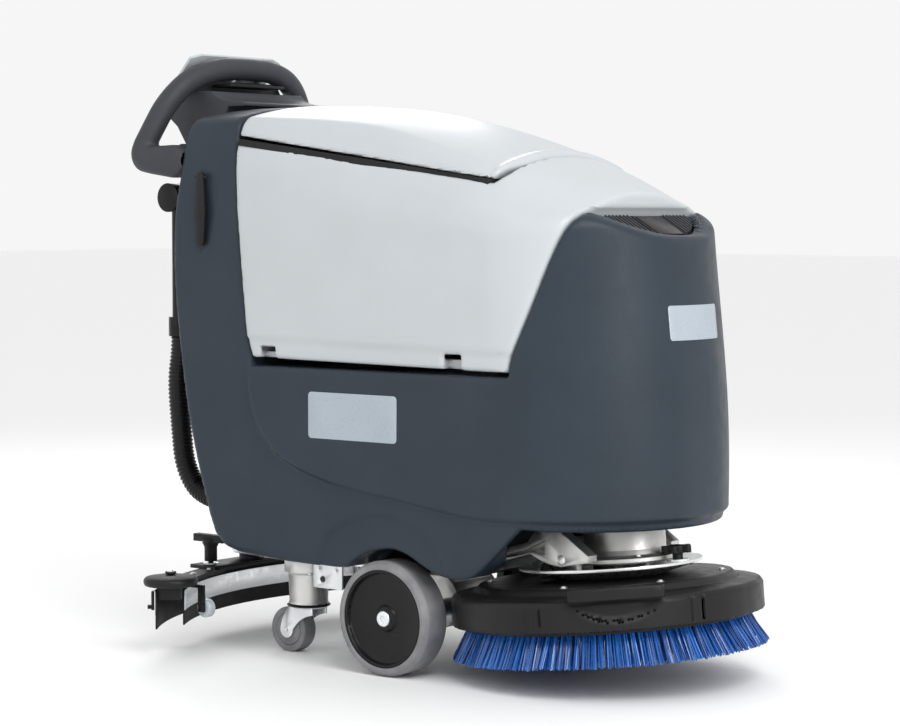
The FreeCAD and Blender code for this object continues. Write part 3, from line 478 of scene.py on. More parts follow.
def net(field, low, high, cell):
    """Points and quads of a field's zero surface, one point for each cell that it crosses."""
    axes = [np.arange(a - cell, b + 2 * cell, cell) for a, b in zip(low, high)]
    value = field(axes[0][:, None, None], axes[1][None, :, None], axes[2][None, None, :])
    value = np.broadcast_to(value, [len(axis) for axis in axes]).astype(np.float32)
    corner = value < 0
    count = np.zeros([n - 1 for n in corner.shape], np.int8)
    for i in (0, 1):
        for j in (0, 1):
            for k in (0, 1):
                count += corner[i:i + count.shape[0], j:j + count.shape[1], k:k + count.shape[2]]
    crossed = (count > 0) & (count < 8)
    index = np.full(count.shape, -1, np.int64)
    index[crossed] = np.arange(crossed.sum())
    cells = np.argwhere(crossed)
    total = np.zeros((len(cells), 3))
    hits = np.zeros(len(cells))
    offsets = [(0, 0), (0, 1), (1, 0), (1, 1)]
    for axis in range(3):
        for p, q in offsets:
            first = [p, q]
            first.insert(axis, 0)
            second = [p, q]
            second.insert(axis, 1)
            a = value[tuple((cells + first).T)].astype(float)
            b = value[tuple((cells + second).T)].astype(float)
            cut = (a < 0) != (b < 0)
            share = np.where(cut, a / np.where(cut, a - b, 1.0), 0.0)
            point = cells + np.array(first)
            point = point.astype(float)
            point[:, axis] += share
            total[cut] += point[cut]
            hits[cut] += 1
    start = np.array([axis[0] for axis in axes])
    points = start + total / hits[:, None] * cell
    faces = []
    for axis in range(3):
        others = [n for n in range(3) if n != axis]
        a = np.moveaxis(corner, axis, 0)
        change = a[:-1] != a[1:]
        change = change[:, 1:-1, 1:-1]
        spots = np.argwhere(change)
        rising = a[:-1][:, 1:-1, 1:-1][tuple(spots.T)]
        ring = []
        for p, q in ((0, 0), (1, 0), (1, 1), (0, 1)):
            where = np.zeros((len(spots), 3), int)
            where[:, axis] = spots[:, 0]
            where[:, others[0]] = spots[:, 1] + p
            where[:, others[1]] = spots[:, 2] + q
            ring.append(index[tuple(where.T)])
        quads = np.stack(ring, 1)
        flip = rising if axis != 1 else ~rising
        quads[~flip] = quads[~flip][:, ::-1]
        faces.append(quads)
    return points, np.vstack(faces)


def settle(field, points, rounds=3, reach=3.0):
    """Move points onto the field's zero surface."""
    step = 0.05
    for _ in range(rounds):
        x, y, z = points.T
        value = field(x, y, z)
        slope = np.stack([
            (field(x + step, y, z) - field(x - step, y, z)),
            (field(x, y + step, z) - field(x, y - step, z)),
            (field(x, y, z + step) - field(x, y, z - step))], 1) / (2 * step)
        size = np.maximum((slope ** 2).sum(1), 0.25)
        move = -(value / size)[:, None] * slope
        length = np.linalg.norm(move, axis=1, keepdims=True)
        move *= np.minimum(1.0, reach / np.maximum(length, 1e-9))
        points = points + move
    return points


def skin(name, field, low, high, cell, place=None, sharp=50.0):
    """A closed smooth mesh of a field."""
    points, faces = net(field, low, high, cell)
    points = settle(field, points)
    if place is not None:
        turn = np.array(place)
        points = points @ turn[:3, :3].T + turn[:3, 3]
    points = (points + [AXLE, 0, 0]) * MM
    mesh = bpy.data.meshes.new(name)
    mesh.vertices.add(len(points))
    mesh.vertices.foreach_set("co", points.ravel())
    mesh.loops.add(len(faces) * 4)
    mesh.loops.foreach_set("vertex_index", faces.ravel().astype(np.int32))
    mesh.polygons.add(len(faces))
    mesh.polygons.foreach_set("loop_start", np.arange(0, len(faces) * 4, 4, dtype=np.int32))
    mesh.update(calc_edges=True)
    mesh.validate()
    smooth_by_angle(mesh, sharp)
    piece = bpy.data.objects.new(name, mesh)
    bpy.context.collection.objects.link(piece)
    return piece


# ---------------------------------------------------------------- outer form of the bodywork

# Stations ahead of the axle, then shoulder height, lid-gap half width and height, crease half
# width and height, and the height at the centre line.
CROWN = (
    (-560, 890, 246, 940, 224, 968, 993), (-348, 881, 240, 927, 222, 966, 995),
    (-75, 829, 228, 884, 208, 938, 975), (196, 773, 212, 842, 192, 867, 903),
    (366, 741, 176, 801, 152, 808, 832), (500, 720, 160, 755, 135, 760, 775),
)
STATIONS = [row[0] for row in CROWN]
SHOULDER, GAP_Y, GAP_Z, CREASE_Y, CREASE_Z, TOP = (
    smooth_table(STATIONS, [row[column] for row in CROWN]) for column in range(1, 7))
HALF_WIDTH = smooth_table((150, 450, 741, 1040), (262, 262, 250, 238))
LEAN = smooth_table((150, 450, 741, 1040), (0, 0, 14, 28))
NOSE_CENTRE = 228.0
WALL = 12.5

SEAM = ((270, 526), (275, 560), (304, 638), (338, 740), (366, 803))
COLUMN_FRONT = ((-299, 526), (-316, 587), (-338, 736), (-348, 818), (-352, 884), (-360, 985))
ARCH = ((-66, 183), (-32, 210), (12, 221), (49, 214), (85, 197), (110, 187), (146, 181), (182, 185),
        (206, 197), (248, 234), (288, 275))
BODY_SIDE = ([(-340, 188), (-226, 181), (-113, 179)] + through(ARCH) + [(330, 273), (490, 273), (490, 450)]
             + through(((490, 450), (481, 600), (466, 741))) + [(456, 756), (440, 762), (366, 803)]
             + through(SEAM[::-1]) + through(COLUMN_FRONT) + [(-366, 994), (-415, 994), (-446, 990),
                                                              (-470, 972)]
             + through(((-478, 955), (-499, 850), (-509, 770), (-501, 646), (-470, 468), (-441, 350),
                        (-410, 250)))
             + [(-396, 218), (-372, 197)])
CREASE = ((-306, 560), (-306, 500), (-301, 465), (-289, 430), (-269, 399), (-241, 374), (-196, 352),
          (-130, 333),
          (-54, 319), (38, 309), (128, 297), (217, 289), (300, 289))
PROUD_SIDE = outline_distance(through(CREASE) + [(700, 289), (700, 1100), (-306, 1100)])
ARCH_LENS = outline_distance(through(((-150, 170), (-122, 236), (-60, 268), (0, 280), (62, 271), (112, 238),
                                      (142, 190), (150, 150))))


def side_relief(x, z):
    """How far the side wall is drawn in below the long crease and round the wheel arch."""
    depth = bpy.context.scene.scrubber_body.relief / MM
    below = np.clip(0.5 + PROUD_SIDE(x, z) / 11, 0, 1)
    below = below * below * (3 - 2 * below)
    lens = np.clip(0.5 - ARCH_LENS(x, z) / 5, 0, 1)
    return depth * below + 4.5 * lens * lens * (3 - 2 * lens)


def plan_field(x, y, z, inset=0.0, relief=False):
    """The walls seen from above: straight sides and a round nose."""
    ahead = np.maximum(x - (NOSE_CENTRE - LEAN(z)), 0)
    wall = np.hypot(ahead, y) - (HALF_WIDTH(z) - inset)
    return wall + side_relief(x, z) if relief else wall


def crown_field(x, y, z, inset=0.0):
    """The top: a sloping shoulder, a steeper band and a low dome."""
    side = np.abs(y)
    wall = 262.0

    def band(y_low, z_low, y_high, z_high):
        run, rise = y_low - y_high, z_high - z_low
        length = np.hypot(run, rise)
        return ((side - y_low) * rise + (z - z_low) * run) / length

    shoulder = band(wall, SHOULDER(x), GAP_Y(x), GAP_Z(x))
    upper = band(GAP_Y(x), GAP_Z(x), CREASE_Y(x), CREASE_Z(x))
    dome = (z - TOP(x) + (TOP(x) - CREASE_Z(x)) * (side / CREASE_Y(x)) ** 2) / 1.05
    return smax(smax(shoulder, upper, 14.0), dome, 14.0) + inset


def form(x, y, z, inset=0.0, relief=False):
    return smax(plan_field(x, y, z, inset, relief), crown_field(x, y, z, inset), 16.0)


BODY_OUTLINE = outline_distance(BODY_SIDE)
RIM_CENTRE, RIM_RADIUS = 239.0, 200.0


GRILLE_FALL = (806 - 735) / (470 - 350)


def grille_plane(x, z):
    """Height above the filler grille's slope, square to it."""
    return (z - 806 + (x - 350) * GRILLE_FALL) / math.hypot(1, GRILLE_FALL)


def scoop_field(x, y, z):
    """The round scoop behind the nose's rim, down to the filler grille's slope."""
    return smax(np.hypot(x - RIM_CENTRE, y) - RIM_RADIUS, -3 - grille_plane(x, z), 6.0)


def shell_field(x, y, z):
    """The slate body: base, round nose tower and rear column in one moulding."""
    field = smax(form(x, y, z, relief=True), BODY_OUTLINE(x, z), 9.0)
    field = smax(field, -scoop_field(x, y, z), 9.0)
    well = np.maximum(np.hypot(x - RIM_CENTRE, y) - (RIM_RADIUS - 9), grille_plane(x, z) * -1 - 24)
    field = smax(field, -np.maximum(well, 366 - x), 4.0)
    for _, hand in SIDES:
        y_out, y_in = hand * 300, hand * 182
        well = rod_y(0, 100, 117, min(y_out, y_in), max(y_out, y_in))
        field = smax(field, -well(x, y, z), 5.0)
    bay = np.maximum(np.hypot(np.maximum(x - NOSE_CENTRE, 0), y) - 238, np.maximum(226 - x, z - 318))
    field = smax(field, -bay, 6.0)
    field = smax(field, -box_field((78, -192, 100), (240, 192, 318))(x, y, z), 6.0)
    field = smax(field, -box_field((-272, -185, 236), (66, 185, 640))(x, y, z), 6.0)
    pocket = outline_distance(through(((-433, 882), (-424, 868), (-421, 840), (-414, 800), (-421, 762),
                                       (-430, 734),
                                       (-437, 726), (-444, 734), (-446, 762), (-452, 800), (-446, 840),
                                       (-442, 868), (-433, 882))))
    latch = np.maximum(pocket(x, z), y + 236)
    return smax(field, -latch, 5.0)


TANK_SIDE = ([(-295, 541), (268, 534)] + through([(x - 2.5, z) for x, z in SEAM[1:-1]] + [(361, 801)])
             + [(366, 806), (366, 900), (214, 1020), (214, 862), (200, 846), (-351, 923.5)]
             + through([(x + 3, z) for x, z in COLUMN_FRONT[3:0:-1]] + [(-299, 541)]))
TANK_OUTLINE = outline_distance(TANK_SIDE)
TANK_VOID = outline_distance([(-283, 552), (256, 552), (292, 640), (325, 740), (348, 792), (348, 1020),
                              (-340, 1020), (-333, 800), (-322, 700), (-303, 600)])
FINGER_RECESS = outline_distance(through(((-262, 925), (-252, 890), (-225, 874), (-160, 866), (-120, 868),
                                          (-104, 880), (-98, 905))) + [(-98, 950), (-262, 950)])


def tank_field(x, y, z):
    """The pale tank: crowned shoulders, a drawn-in lip and two notches at its foot."""
    lip = 575 - (x + 294) * 0.0175
    step = 3.5 * np.clip(0.5 + (lip - z) / 5, 0, 1)
    wall = plan_field(x, y, z) + step
    field = smax(smax(wall, crown_field(x, y, z), 16.0), TANK_OUTLINE(x, z), 7.0)
    hollow = np.maximum(form(x, y, z, inset=WALL), TANK_VOID(x, z))
    field = smax(field, -hollow, 3.0)
    for _, hand in SIDES:
        for x_notch in (-262, 154):
            notch = box_field((x_notch - 18, min(hand * 236, hand * 300), 500),
                              (x_notch + 18, max(hand * 236, hand * 300), 561))
            field = smax(field, -notch(x, y, z), 4.0)
    dish = np.maximum(FINGER_RECESS(x, z), 251 - np.abs(y))
    return smax(field, -dish, 6.0)


LID_SIDE = outline_distance([(-351, 935), (196, 854), (212, 878), (212, 1020), (-351, 1020)])


def lid_field(x, y, z):
    """The lid: a low dome with a turned-up lip along its front edge."""
    ridge = 5.0 * np.exp(-((x - 201) / 7.5) ** 2)
    outside = form(x, y, z) - ridge * np.clip((z - 840) / 30, 0, 1)
    field = smax(outside, LID_SIDE(x, z), 8.0)
    hollow = np.maximum(form(x, y, z, inset=WALL), np.maximum(WALL - 351 - x, x - 205 + WALL))
    return smax(field, -hollow, 3.0)


HANDLE_ROUTE = [(-500, -216, 893), (-566, -222, 891), (-608, -227, 902), (-592, -208, 952),
                (-577, -186, 1002),
                (-560, -138, 1050), (-548, -70, 1069), (-546, 0, 1070.5)]
HANDLE_ROUTE += [(x, -y, z) for x, y, z in HANDLE_ROUTE[-2::-1]]
HANDLE_RADIUS = 21.0
HANDLE_FRONT = Vector((0.941, 0.0, -0.339))


def cut_corners(points, rounds=3):
    """A smooth line inside a route's corners, with the route's own ends."""
    line = np.array(points, float)
    for _ in range(rounds):
        near = line[:-1] * 0.75 + line[1:] * 0.25
        far = line[:-1] * 0.25 + line[1:] * 0.75
        line = np.vstack([line[:1], np.stack([near, far], 1).reshape(-1, 3), line[-1:]])
    return line


HANDLE_LINE = cut_corners(HANDLE_ROUTE)


def handle_field(x, y, z):
    """The handle loop: a round tube that swells into a flat lobe at each foot."""
    nearest = np.full(np.broadcast(x, y, z).shape, 1e9)
    for a, b in zip(HANDLE_LINE, HANDLE_LINE[1:]):
        run = b - a
        along = ((x - a[0]) * run[0] + (y - a[1]) * run[1] + (z - a[2]) * run[2]) / (run @ run)
        along = np.clip(along, 0, 1)
        gap = ((x - a[0] - run[0] * along) ** 2 + (y - a[1] - run[1] * along) ** 2
               + (z - a[2] - run[2] * along) ** 2)
        nearest = np.minimum(nearest, gap)
    tube = np.sqrt(nearest) - HANDLE_RADIUS
    share = np.clip((x + 596) / 70, 0, 1)
    lobe = np.hypot(x + 596 - 70 * share, z - 897 + 5 * share) - (22 + 8 * share)
    lobe = smax(lobe, np.abs(np.abs(y) - 214) - 21, 12.0)
    return smin(tube, lobe, 12.0)


COVER_PROFILE = outline_distance([(264.5, 61.5), (267.5, 61.5), (267.5, 104), (263, 110.5), (227, 115),
                                  (217, 126),
                                  (97.5, 128), (97.5, 126), (214, 123), (224, 111), (260, 106), (264.5, 101)])
BAR_TURN = math.radians(-51.5)


def cover_field(x, y, z):
    """The brush cover: a skirt with paired grooves, a stepped top and a dished handhold."""
    radius = np.hypot(x, y)
    around = np.arctan2(y, x)
    field = COVER_PROFILE(radius, z) - 1.5
    sixth = math.pi / 3
    to_pair = (around - BAR_TURN) % sixth - sixth / 2
    for shift in (-11, 11):
        groove = np.maximum(np.abs(to_pair * 269 - shift) - 2.4, 266.2 - radius)
        field = smax(field, -np.maximum(groove, 66 - z), 1.6)
    turn = (around - BAR_TURN + math.pi) % (2 * math.pi) - math.pi
    dish = np.hypot(turn * 269 / 88, (z - 116) / 48) - 1
    depth = np.clip(-dish * 2.4, 0, 1)
    dished = COVER_PROFILE(radius + 9.0 * depth * depth * (3 - 2 * depth), z) - 1.5
    return np.where(dish < 0, dished, field)


# ---------------------------------------------------------------- operators

class SCRUBBER_OT_bodywork(bpy.types.Operator):
    """Build the slate body moulding."""
    bl_idname = "scrubber.bodywork"
    bl_label = "Slate body"

    def execute(self, context):
        cell = context.scene.scrubber_body.cell / MM
        shell = skin("body_moulding", shell_field, (-514, -266, 172), (500, 266, 1000), cell)
        place_piece(shell, "chassis", "slate_plastic", ["body_shell"])
        return {"FINISHED"}


class SCRUBBER_OT_tank(bpy.types.Operator):
    """Build the recovery tank and its lid."""
    bl_idname = "scrubber.tank"
    bl_label = "Tank and lid"

    def execute(self, context):
        cell = context.scene.scrubber_body.cell / MM
        tank = skin("tank_moulding", tank_field, (-362, -266, 528), (372, 266, 930), cell)
        place_piece(tank, "recovery_tank", "tank_plastic", ["recovery_tank"])
        lid = skin("lid_moulding", lid_field, (-356, -262, 840), (218, 262, 1000), cell * 0.85)
        place_piece(lid, "lid", "tank_plastic", ["tank_lid"])
        return {"FINISHED"}


class SCRUBBER_OT_handle(bpy.types.Operator):
    """Build the handle loop and its screw wells."""
    bl_idname = "scrubber.handle"
    bl_label = "Handle"

    def execute(self, context):
        loop = skin("handle_loop", handle_field, (-634, -252, 858), (-496, 252, 1094), 3.6)
        place_piece(loop, "chassis", "charcoal_plastic",
                    ["handle_front_shell", "handle_rear_shell"])
        spots, ways = [], []
        count = len(HANDLE_LINE)
        for share in (0.2, 0.34, 0.45, 0.55, 0.66, 0.8):
            middle = Vector(HANDLE_LINE[round(share * (count - 1))])
            spots.append(spot(*(middle + HANDLE_FRONT * (HANDLE_RADIUS - 2.4))))
            ways.append(HANDLE_FRONT)
        for _, hand in SIDES:
            for x, z in ((-532, 893), (-590, 884)):
                spots.append(spot(x, hand * 233, z))
                ways.append((0, hand, 0))
        wells = grown("handle_screw_wells", bolt_tree("gloss_black"), {"Radius": 0.0031},
                      point_mesh("handle_wells", spots, ways))
        place_piece(wells, "chassis", "gloss_black")
        return {"FINISHED"}


class SCRUBBER_OT_deck_cover(bpy.types.Operator):
    """Build the brush cover."""
    bl_idname = "scrubber.deck_cover"
    bl_label = "Brush cover"

    def execute(self, context):
        cover = skin("brush_cover", cover_field, (-272, -272, 56), (272, 272, 134), 3.8, place=DECK_PLACE)
        place_piece(cover, "deck", "black_plastic", ["deck_cover"])
        return {"FINISHED"}


def lathe(name, profile, centre, axis=(0, 0, 1), sides=64, sharp=35.0):
    """A turned piece: profile points are (radius, height) about an axis through centre."""
    points, faces = [], []
    turn = Vector((0, 0, 1)).rotation_difference(Vector(axis).normalized()).to_matrix()
    for step in range(sides):
        angle = 2 * math.pi * step / sides
        for radius, height in profile:
            local = Vector((radius * math.cos(angle), radius * math.sin(angle), height))
            points.append(spot(*(Vector(centre) + turn @ local)))
    count = len(profile)
    for step in range(sides):
        here, there = step * count, (step + 1) % sides * count
        for i in range(count):
            j = (i + 1) % count
            faces.append((here + i, there + i, there + j, here + j))
    piece = mesh_object(name, points, faces, sharp)
    shape = bmesh.new()
    shape.from_mesh(piece.data)
    bmesh.ops.remove_doubles(shape, verts=shape.verts, dist=0.00001)
    bmesh.ops.recalc_face_normals(shape, faces=shape.faces)
    shape.to_mesh(piece.data)
    shape.free()
    smooth_by_angle(piece.data, sharp)
    return piece


def on_deck(u, v, w):
    """A point of the pitched deck, ahead of the axle."""
    return DECK_PLACE @ Vector((u, v, w))


DECK_UP = DECK_PLACE.to_3x3() @ Vector((0, 0, 1))


class SCRUBBER_OT_small_parts(bpy.types.Operator):
    """Add seals, studs, washers and the brush motor's flange."""
    bl_idname = "scrubber.small_parts"
    bl_label = "Small parts"

    def execute(self, context):
        for side, hand in SIDES:
            ring = lathe(f"caster_seal_{side}", [(30, 86.5), (38, 86.5), (40, 88.5), (38, 90.5), (30, 90.5)],
                         (-262, hand * 147, 0))
            place_piece(ring, f"caster_{side}", "gloss_black")
            foot = on_deck(-35, hand * 120, 133)
            stud = lathe(f"deck_stud_{side}", [(0, 0), (17, 0), (17, 4), (10, 7), (8, 12), (11, 14), (11, 20),
                                               (6, 29), (0, 31)], foot, DECK_UP, 32)
            place_piece(stud, "deck", "black_rubber")
            washer = lathe(f"knob_washer_{side}", [(5.1, 0), (15, 0), (15, 2), (5.1, 2)],
                           (-543, hand * 110, 134.2), (0, 0, 1), 32)
            place_piece(washer, "squeegee", "zinc_steel")
        rim = lathe("brush_motor_flange", [(70, 155), (86, 155), (88, 157), (88, 163), (85, 166),
                                           (74, 168), (71, 176),
                                           (70, 176)], on_deck(46, 0, 0), DECK_UP, 72)
        place_piece(rim, "deck", "cast_aluminium")
        boss = lathe("star_knob_washer", [(9.4, 153), (19, 153), (19, 156), (9.4, 156)],
                     on_deck(152, 0, 0), DECK_UP, 36)
        place_piece(boss, "deck", "zinc_steel")
        return {"FINISHED"}


class SCRUBBER_OT_grille(bpy.types.Operator):
    """Build the filler's dark well and the slats across it."""
    bl_idname = "scrubber.grille"
    bl_label = "Filler grille"

    def execute(self, context):
        def well(x, y, z):
            level = grille_plane(x, z)
            tray = smax(np.hypot(x - RIM_CENTRE, y) - (RIM_RADIUS - 9.5), np.abs(level + 19) - 4, 2.0)
            frame_bar = np.maximum(np.abs(np.abs(y) - 41.5) - 3.5, np.abs(level + 10) - 9.5)
            frame_bar = np.maximum(frame_bar, np.hypot(x - RIM_CENTRE, y) - (RIM_RADIUS - 9.5))
            return np.maximum(np.minimum(tray, frame_bar), np.maximum(369 - x, x - 440))

        tray = skin("filler_well", well, (366, -146, 715), (442, 146, 802), 2.6)
        place_piece(tray, "chassis", "black_rubber", ["filler_grille"])
        spots, ways, reaches = [], [], []
        slope = Vector((1, 0, -GRILLE_FALL)).normalized()
        rise = Vector((GRILLE_FALL, 0, 1)).normalized()
        for step in range(9):
            for _, hand in SIDES:
                y = 54 + 10.5 * step
                far = RIM_CENTRE + math.sqrt((RIM_RADIUS - 11) ** 2 - y * y) - 370
                if far < 12:
                    continue
                middle = Vector((370 + far / 2, hand * y, 806 - (20 + far / 2) * GRILLE_FALL)) - rise * 8
                spots.append(spot(*middle))
                ways.append(rise)
                reaches.append(far / slope.x * MM)
        seeds = point_mesh("grille_slats", spots, ways, scales=reaches)
        tree, group_in, group_out = new_tree("slats", {"Thickness": 0.0032, "Height": 0.015})
        slat = tree.nodes.new("GeometryNodeMeshCube")
        size = tree.nodes.new("ShaderNodeCombineXYZ")
        size.inputs["X"].default_value = 1.0
        tree.links.new(group_in.outputs["Thickness"], size.inputs["Y"])
        tree.links.new(group_in.outputs["Height"], size.inputs["Z"])
        tree.links.new(size.outputs["Vector"], slat.inputs["Size"])
        aim = tree.nodes.new("FunctionNodeAxisAngleToRotation")
        aim.inputs["Axis"].default_value = (0, 1, 0)
        aim.inputs["Angle"].default_value = math.atan(GRILLE_FALL)
        reach = tree.nodes.new("GeometryNodeInputNamedAttribute")
        reach.inputs["Name"].default_value = "size"
        stretch = tree.nodes.new("ShaderNodeCombineXYZ")
        stretch.inputs["Y"].default_value = 1.0
        stretch.inputs["Z"].default_value = 1.0
        tree.links.new(reach.outputs["Attribute"], stretch.inputs["X"])
        stand = tree.nodes.new("GeometryNodeInstanceOnPoints")
        tree.links.new(group_in.outputs["Geometry"], stand.inputs["Points"])
        tree.links.new(slat.outputs["Mesh"], stand.inputs["Instance"])
        tree.links.new(aim.outputs["Rotation"], stand.inputs["Rotation"])
        tree.links.new(stretch.outputs["Vector"], stand.inputs["Scale"])
        close_tree(tree, stand.outputs["Instances"], group_out, "charcoal_plastic")
        slats = grown("filler_slats", tree, {"Thickness": 0.0032, "Height": 0.015}, seeds)
        place_piece(slats, "chassis", "charcoal_plastic")
        return {"FINISHED"}


def badge(name, place, half_across, half_up, corner=7.0):
    """A thin blank badge with round corners; place turns flat points into points on the body."""
    outline = []
    for quarter, (su, sv) in enumerate(((1, 1), (-1, 1), (-1, -1), (1, -1))):
        for step in range(7):
            angle = math.pi / 2 * (quarter + step / 6)
            outline.append((su * (half_across - corner) + corner * math.cos(angle),
                            sv * (half_up - corner) + corner * math.sin(angle)))
        if su == sv:
            across, to_left = half_across - corner, su
            outline += [(to_left * across * (1 - step / 6), sv * half_up) for step in range(1, 12)]
    points, faces = [], []
    rings = ((1.0, -0.3), (1.0, 0.7), (0.985, 1.2), (0.8, 1.2), (0.6, 1.2), (0.4, 1.2), (0.2, 1.2))
    for share, lift in rings:
        points += [place(u * share, v * share, lift) for u, v in outline]
    count = len(outline)
    for ring in range(len(rings) - 1):
        for i in range(count):
            a, b = ring * count + i, ring * count + (i + 1) % count
            faces.append((a, b, b + count, a + count))
    points.append(place(0, 0, 1.2))
    last = (len(rings) - 1) * count
    faces += [(last + i, last + (i + 1) % count, len(points) - 1) for i in range(count)]
    return mesh_object(name, points, faces, 30.0)


class SCRUBBER_OT_badges(bpy.types.Operator):
    """Stick the blank badges on the sides and the nose."""
    bl_idname = "scrubber.badges"
    bl_label = "Blank badges"

    def execute(self, context):
        def on_right(u, v, lift):
            return spot(-59 + u, -262 - lift, 445.5 + v)

        def on_left(u, v, lift):
            return spot(-59 - u, 262 + lift, 445.5 + v)

        def on_nose(u, v, lift):
            z = 615 + v
            radius = float(HALF_WIDTH(z)) + lift
            angle = u / radius
            return spot(NOSE_CENTRE - float(LEAN(z)) + radius * math.cos(angle), radius * math.sin(angle), z)

        pieces = [badge("badge_right", on_right, 100, 40.5), badge("badge_left", on_left, 100, 40.5),
                  badge("badge_nose", on_nose, 72, 29, 5.0)]
        for number, piece in enumerate(pieces):
            place_piece(piece, "chassis", "badge_film", ["blank_badges"] if number == 0 else ())
        return {"FINISHED"}


ARC_CENTRE, ARC_RADIUS, ARC_HALF = 14.0, 554.0, 36.6


def on_arc(radius, degrees, z):
    turn = math.radians(degrees)
    return Vector((ARC_CENTRE - radius * math.cos(turn), radius * math.sin(turn), z))


class SCRUBBER_OT_fasteners(bpy.types.Operator):
    """Set the bolts and the squeegee's clips."""
    bl_idname = "scrubber.fasteners"
    bl_label = "Bolts and clips"

    def execute(self, context):
        groups = {"chassis": [], "deck": [], "squeegee": [], "squeegee_arms": []}
        for _, hand in SIDES:
            for angle in range(45, 360, 90):
                turn = math.radians(angle)
                groups["chassis"].append(((-262 + 40 * math.cos(turn), hand * (147 + 40 * math.sin(turn)),
                                           150.5),
                                          (0, 0, -1)))
            groups["chassis"].append(((-205, hand * 184.2, 160), (0, hand, 0)))
            groups["chassis"].append(((-165, hand * 184.2, 160), (0, hand, 0)))
            groups["squeegee_arms"].append(((-262, hand * 47, 151), (0, hand, 0)))
            groups["squeegee_arms"].append(((-520, hand * 47, 160), (0, hand, 0)))
            groups["squeegee"].append((on_arc(ARC_RADIUS, hand * ARC_HALF, 153.6), (0, 0, 1)))
            for angle in (7, 14, 21, 28, 34):
                groups["squeegee"].append((on_arc(ARC_RADIUS, hand * angle, 128.2), (0, 0, 1)))
                way = on_arc(1, hand * angle, 0) - Vector((ARC_CENTRE, 0, 0))
                groups["squeegee"].append((on_arc(ARC_RADIUS + 26.7, hand * (angle - 3), 96), way))
        for angle in range(20, 380, 60):
            turn = math.radians(angle)
            groups["deck"].append((on_deck(46 + 79 * math.cos(turn), 79 * math.sin(turn), 166), DECK_UP))
        for angle in (-75, -28, 28, 75, 150, 210):
            turn = math.radians(angle)
            groups["deck"].append((on_deck(200 * math.cos(turn), 200 * math.sin(turn), 128.5), DECK_UP))
        tree = bolt_tree("zinc_steel")
        for body, bolts in groups.items():
            spots = [spot(*place) for place, _ in bolts]
            piece = grown(f"bolts_{body}", tree, {"Radius": 0.0042},
                          point_mesh("bolt_spots", spots, [way for _, way in bolts]))
            place_piece(piece, body, "zinc_steel")
        self.add_clips()
        return {"FINISHED"}

    def add_clips(self):
        """Spring clips that hold the blades to the squeegee bar, in a single row round its arc."""
        tree, group_in, group_out = new_tree("clips", {"Width": 0.016})
        join = tree.nodes.new("GeometryNodeJoinGeometry")
        for size, shift in (((0.6, 1.0, 2.6), (0, 0, 0)), ((1.1, 0.7, 0.5), (0.3, 0, -0.9)),
                            ((0.9, 1.0, 0.45), (-0.5, 0, 1.2))):
            block = tree.nodes.new("GeometryNodeMeshCube")
            block.inputs["Size"].default_value = size
            move = tree.nodes.new("GeometryNodeTransform")
            move.inputs["Translation"].default_value = shift
            tree.links.new(block.outputs["Mesh"], move.inputs["Geometry"])
            tree.links.new(move.outputs["Geometry"], join.inputs["Geometry"])
        scaled = tree.nodes.new("GeometryNodeTransform")
        tree.links.new(join.outputs["Geometry"], scaled.inputs["Geometry"])
        tree.links.new(group_in.outputs["Width"], scaled.inputs["Scale"])
        close_tree(tree, stood_on(tree, group_in, scaled.outputs["Geometry"]), group_out, "black_plastic")
        spots, ways, spins = [], [], []
        for angle in range(-36, 37, 6):
            spots.append(spot(*on_arc(ARC_RADIUS + 31.5, angle, 100)))
            ways.append((0, 0, 1))
            spins.append(math.pi - math.radians(angle))
        clips = grown("blade_clips", tree, {"Width": 0.013}, point_mesh("clip_spots", spots, ways, spins))
        place_piece(clips, "squeegee", "black_plastic")


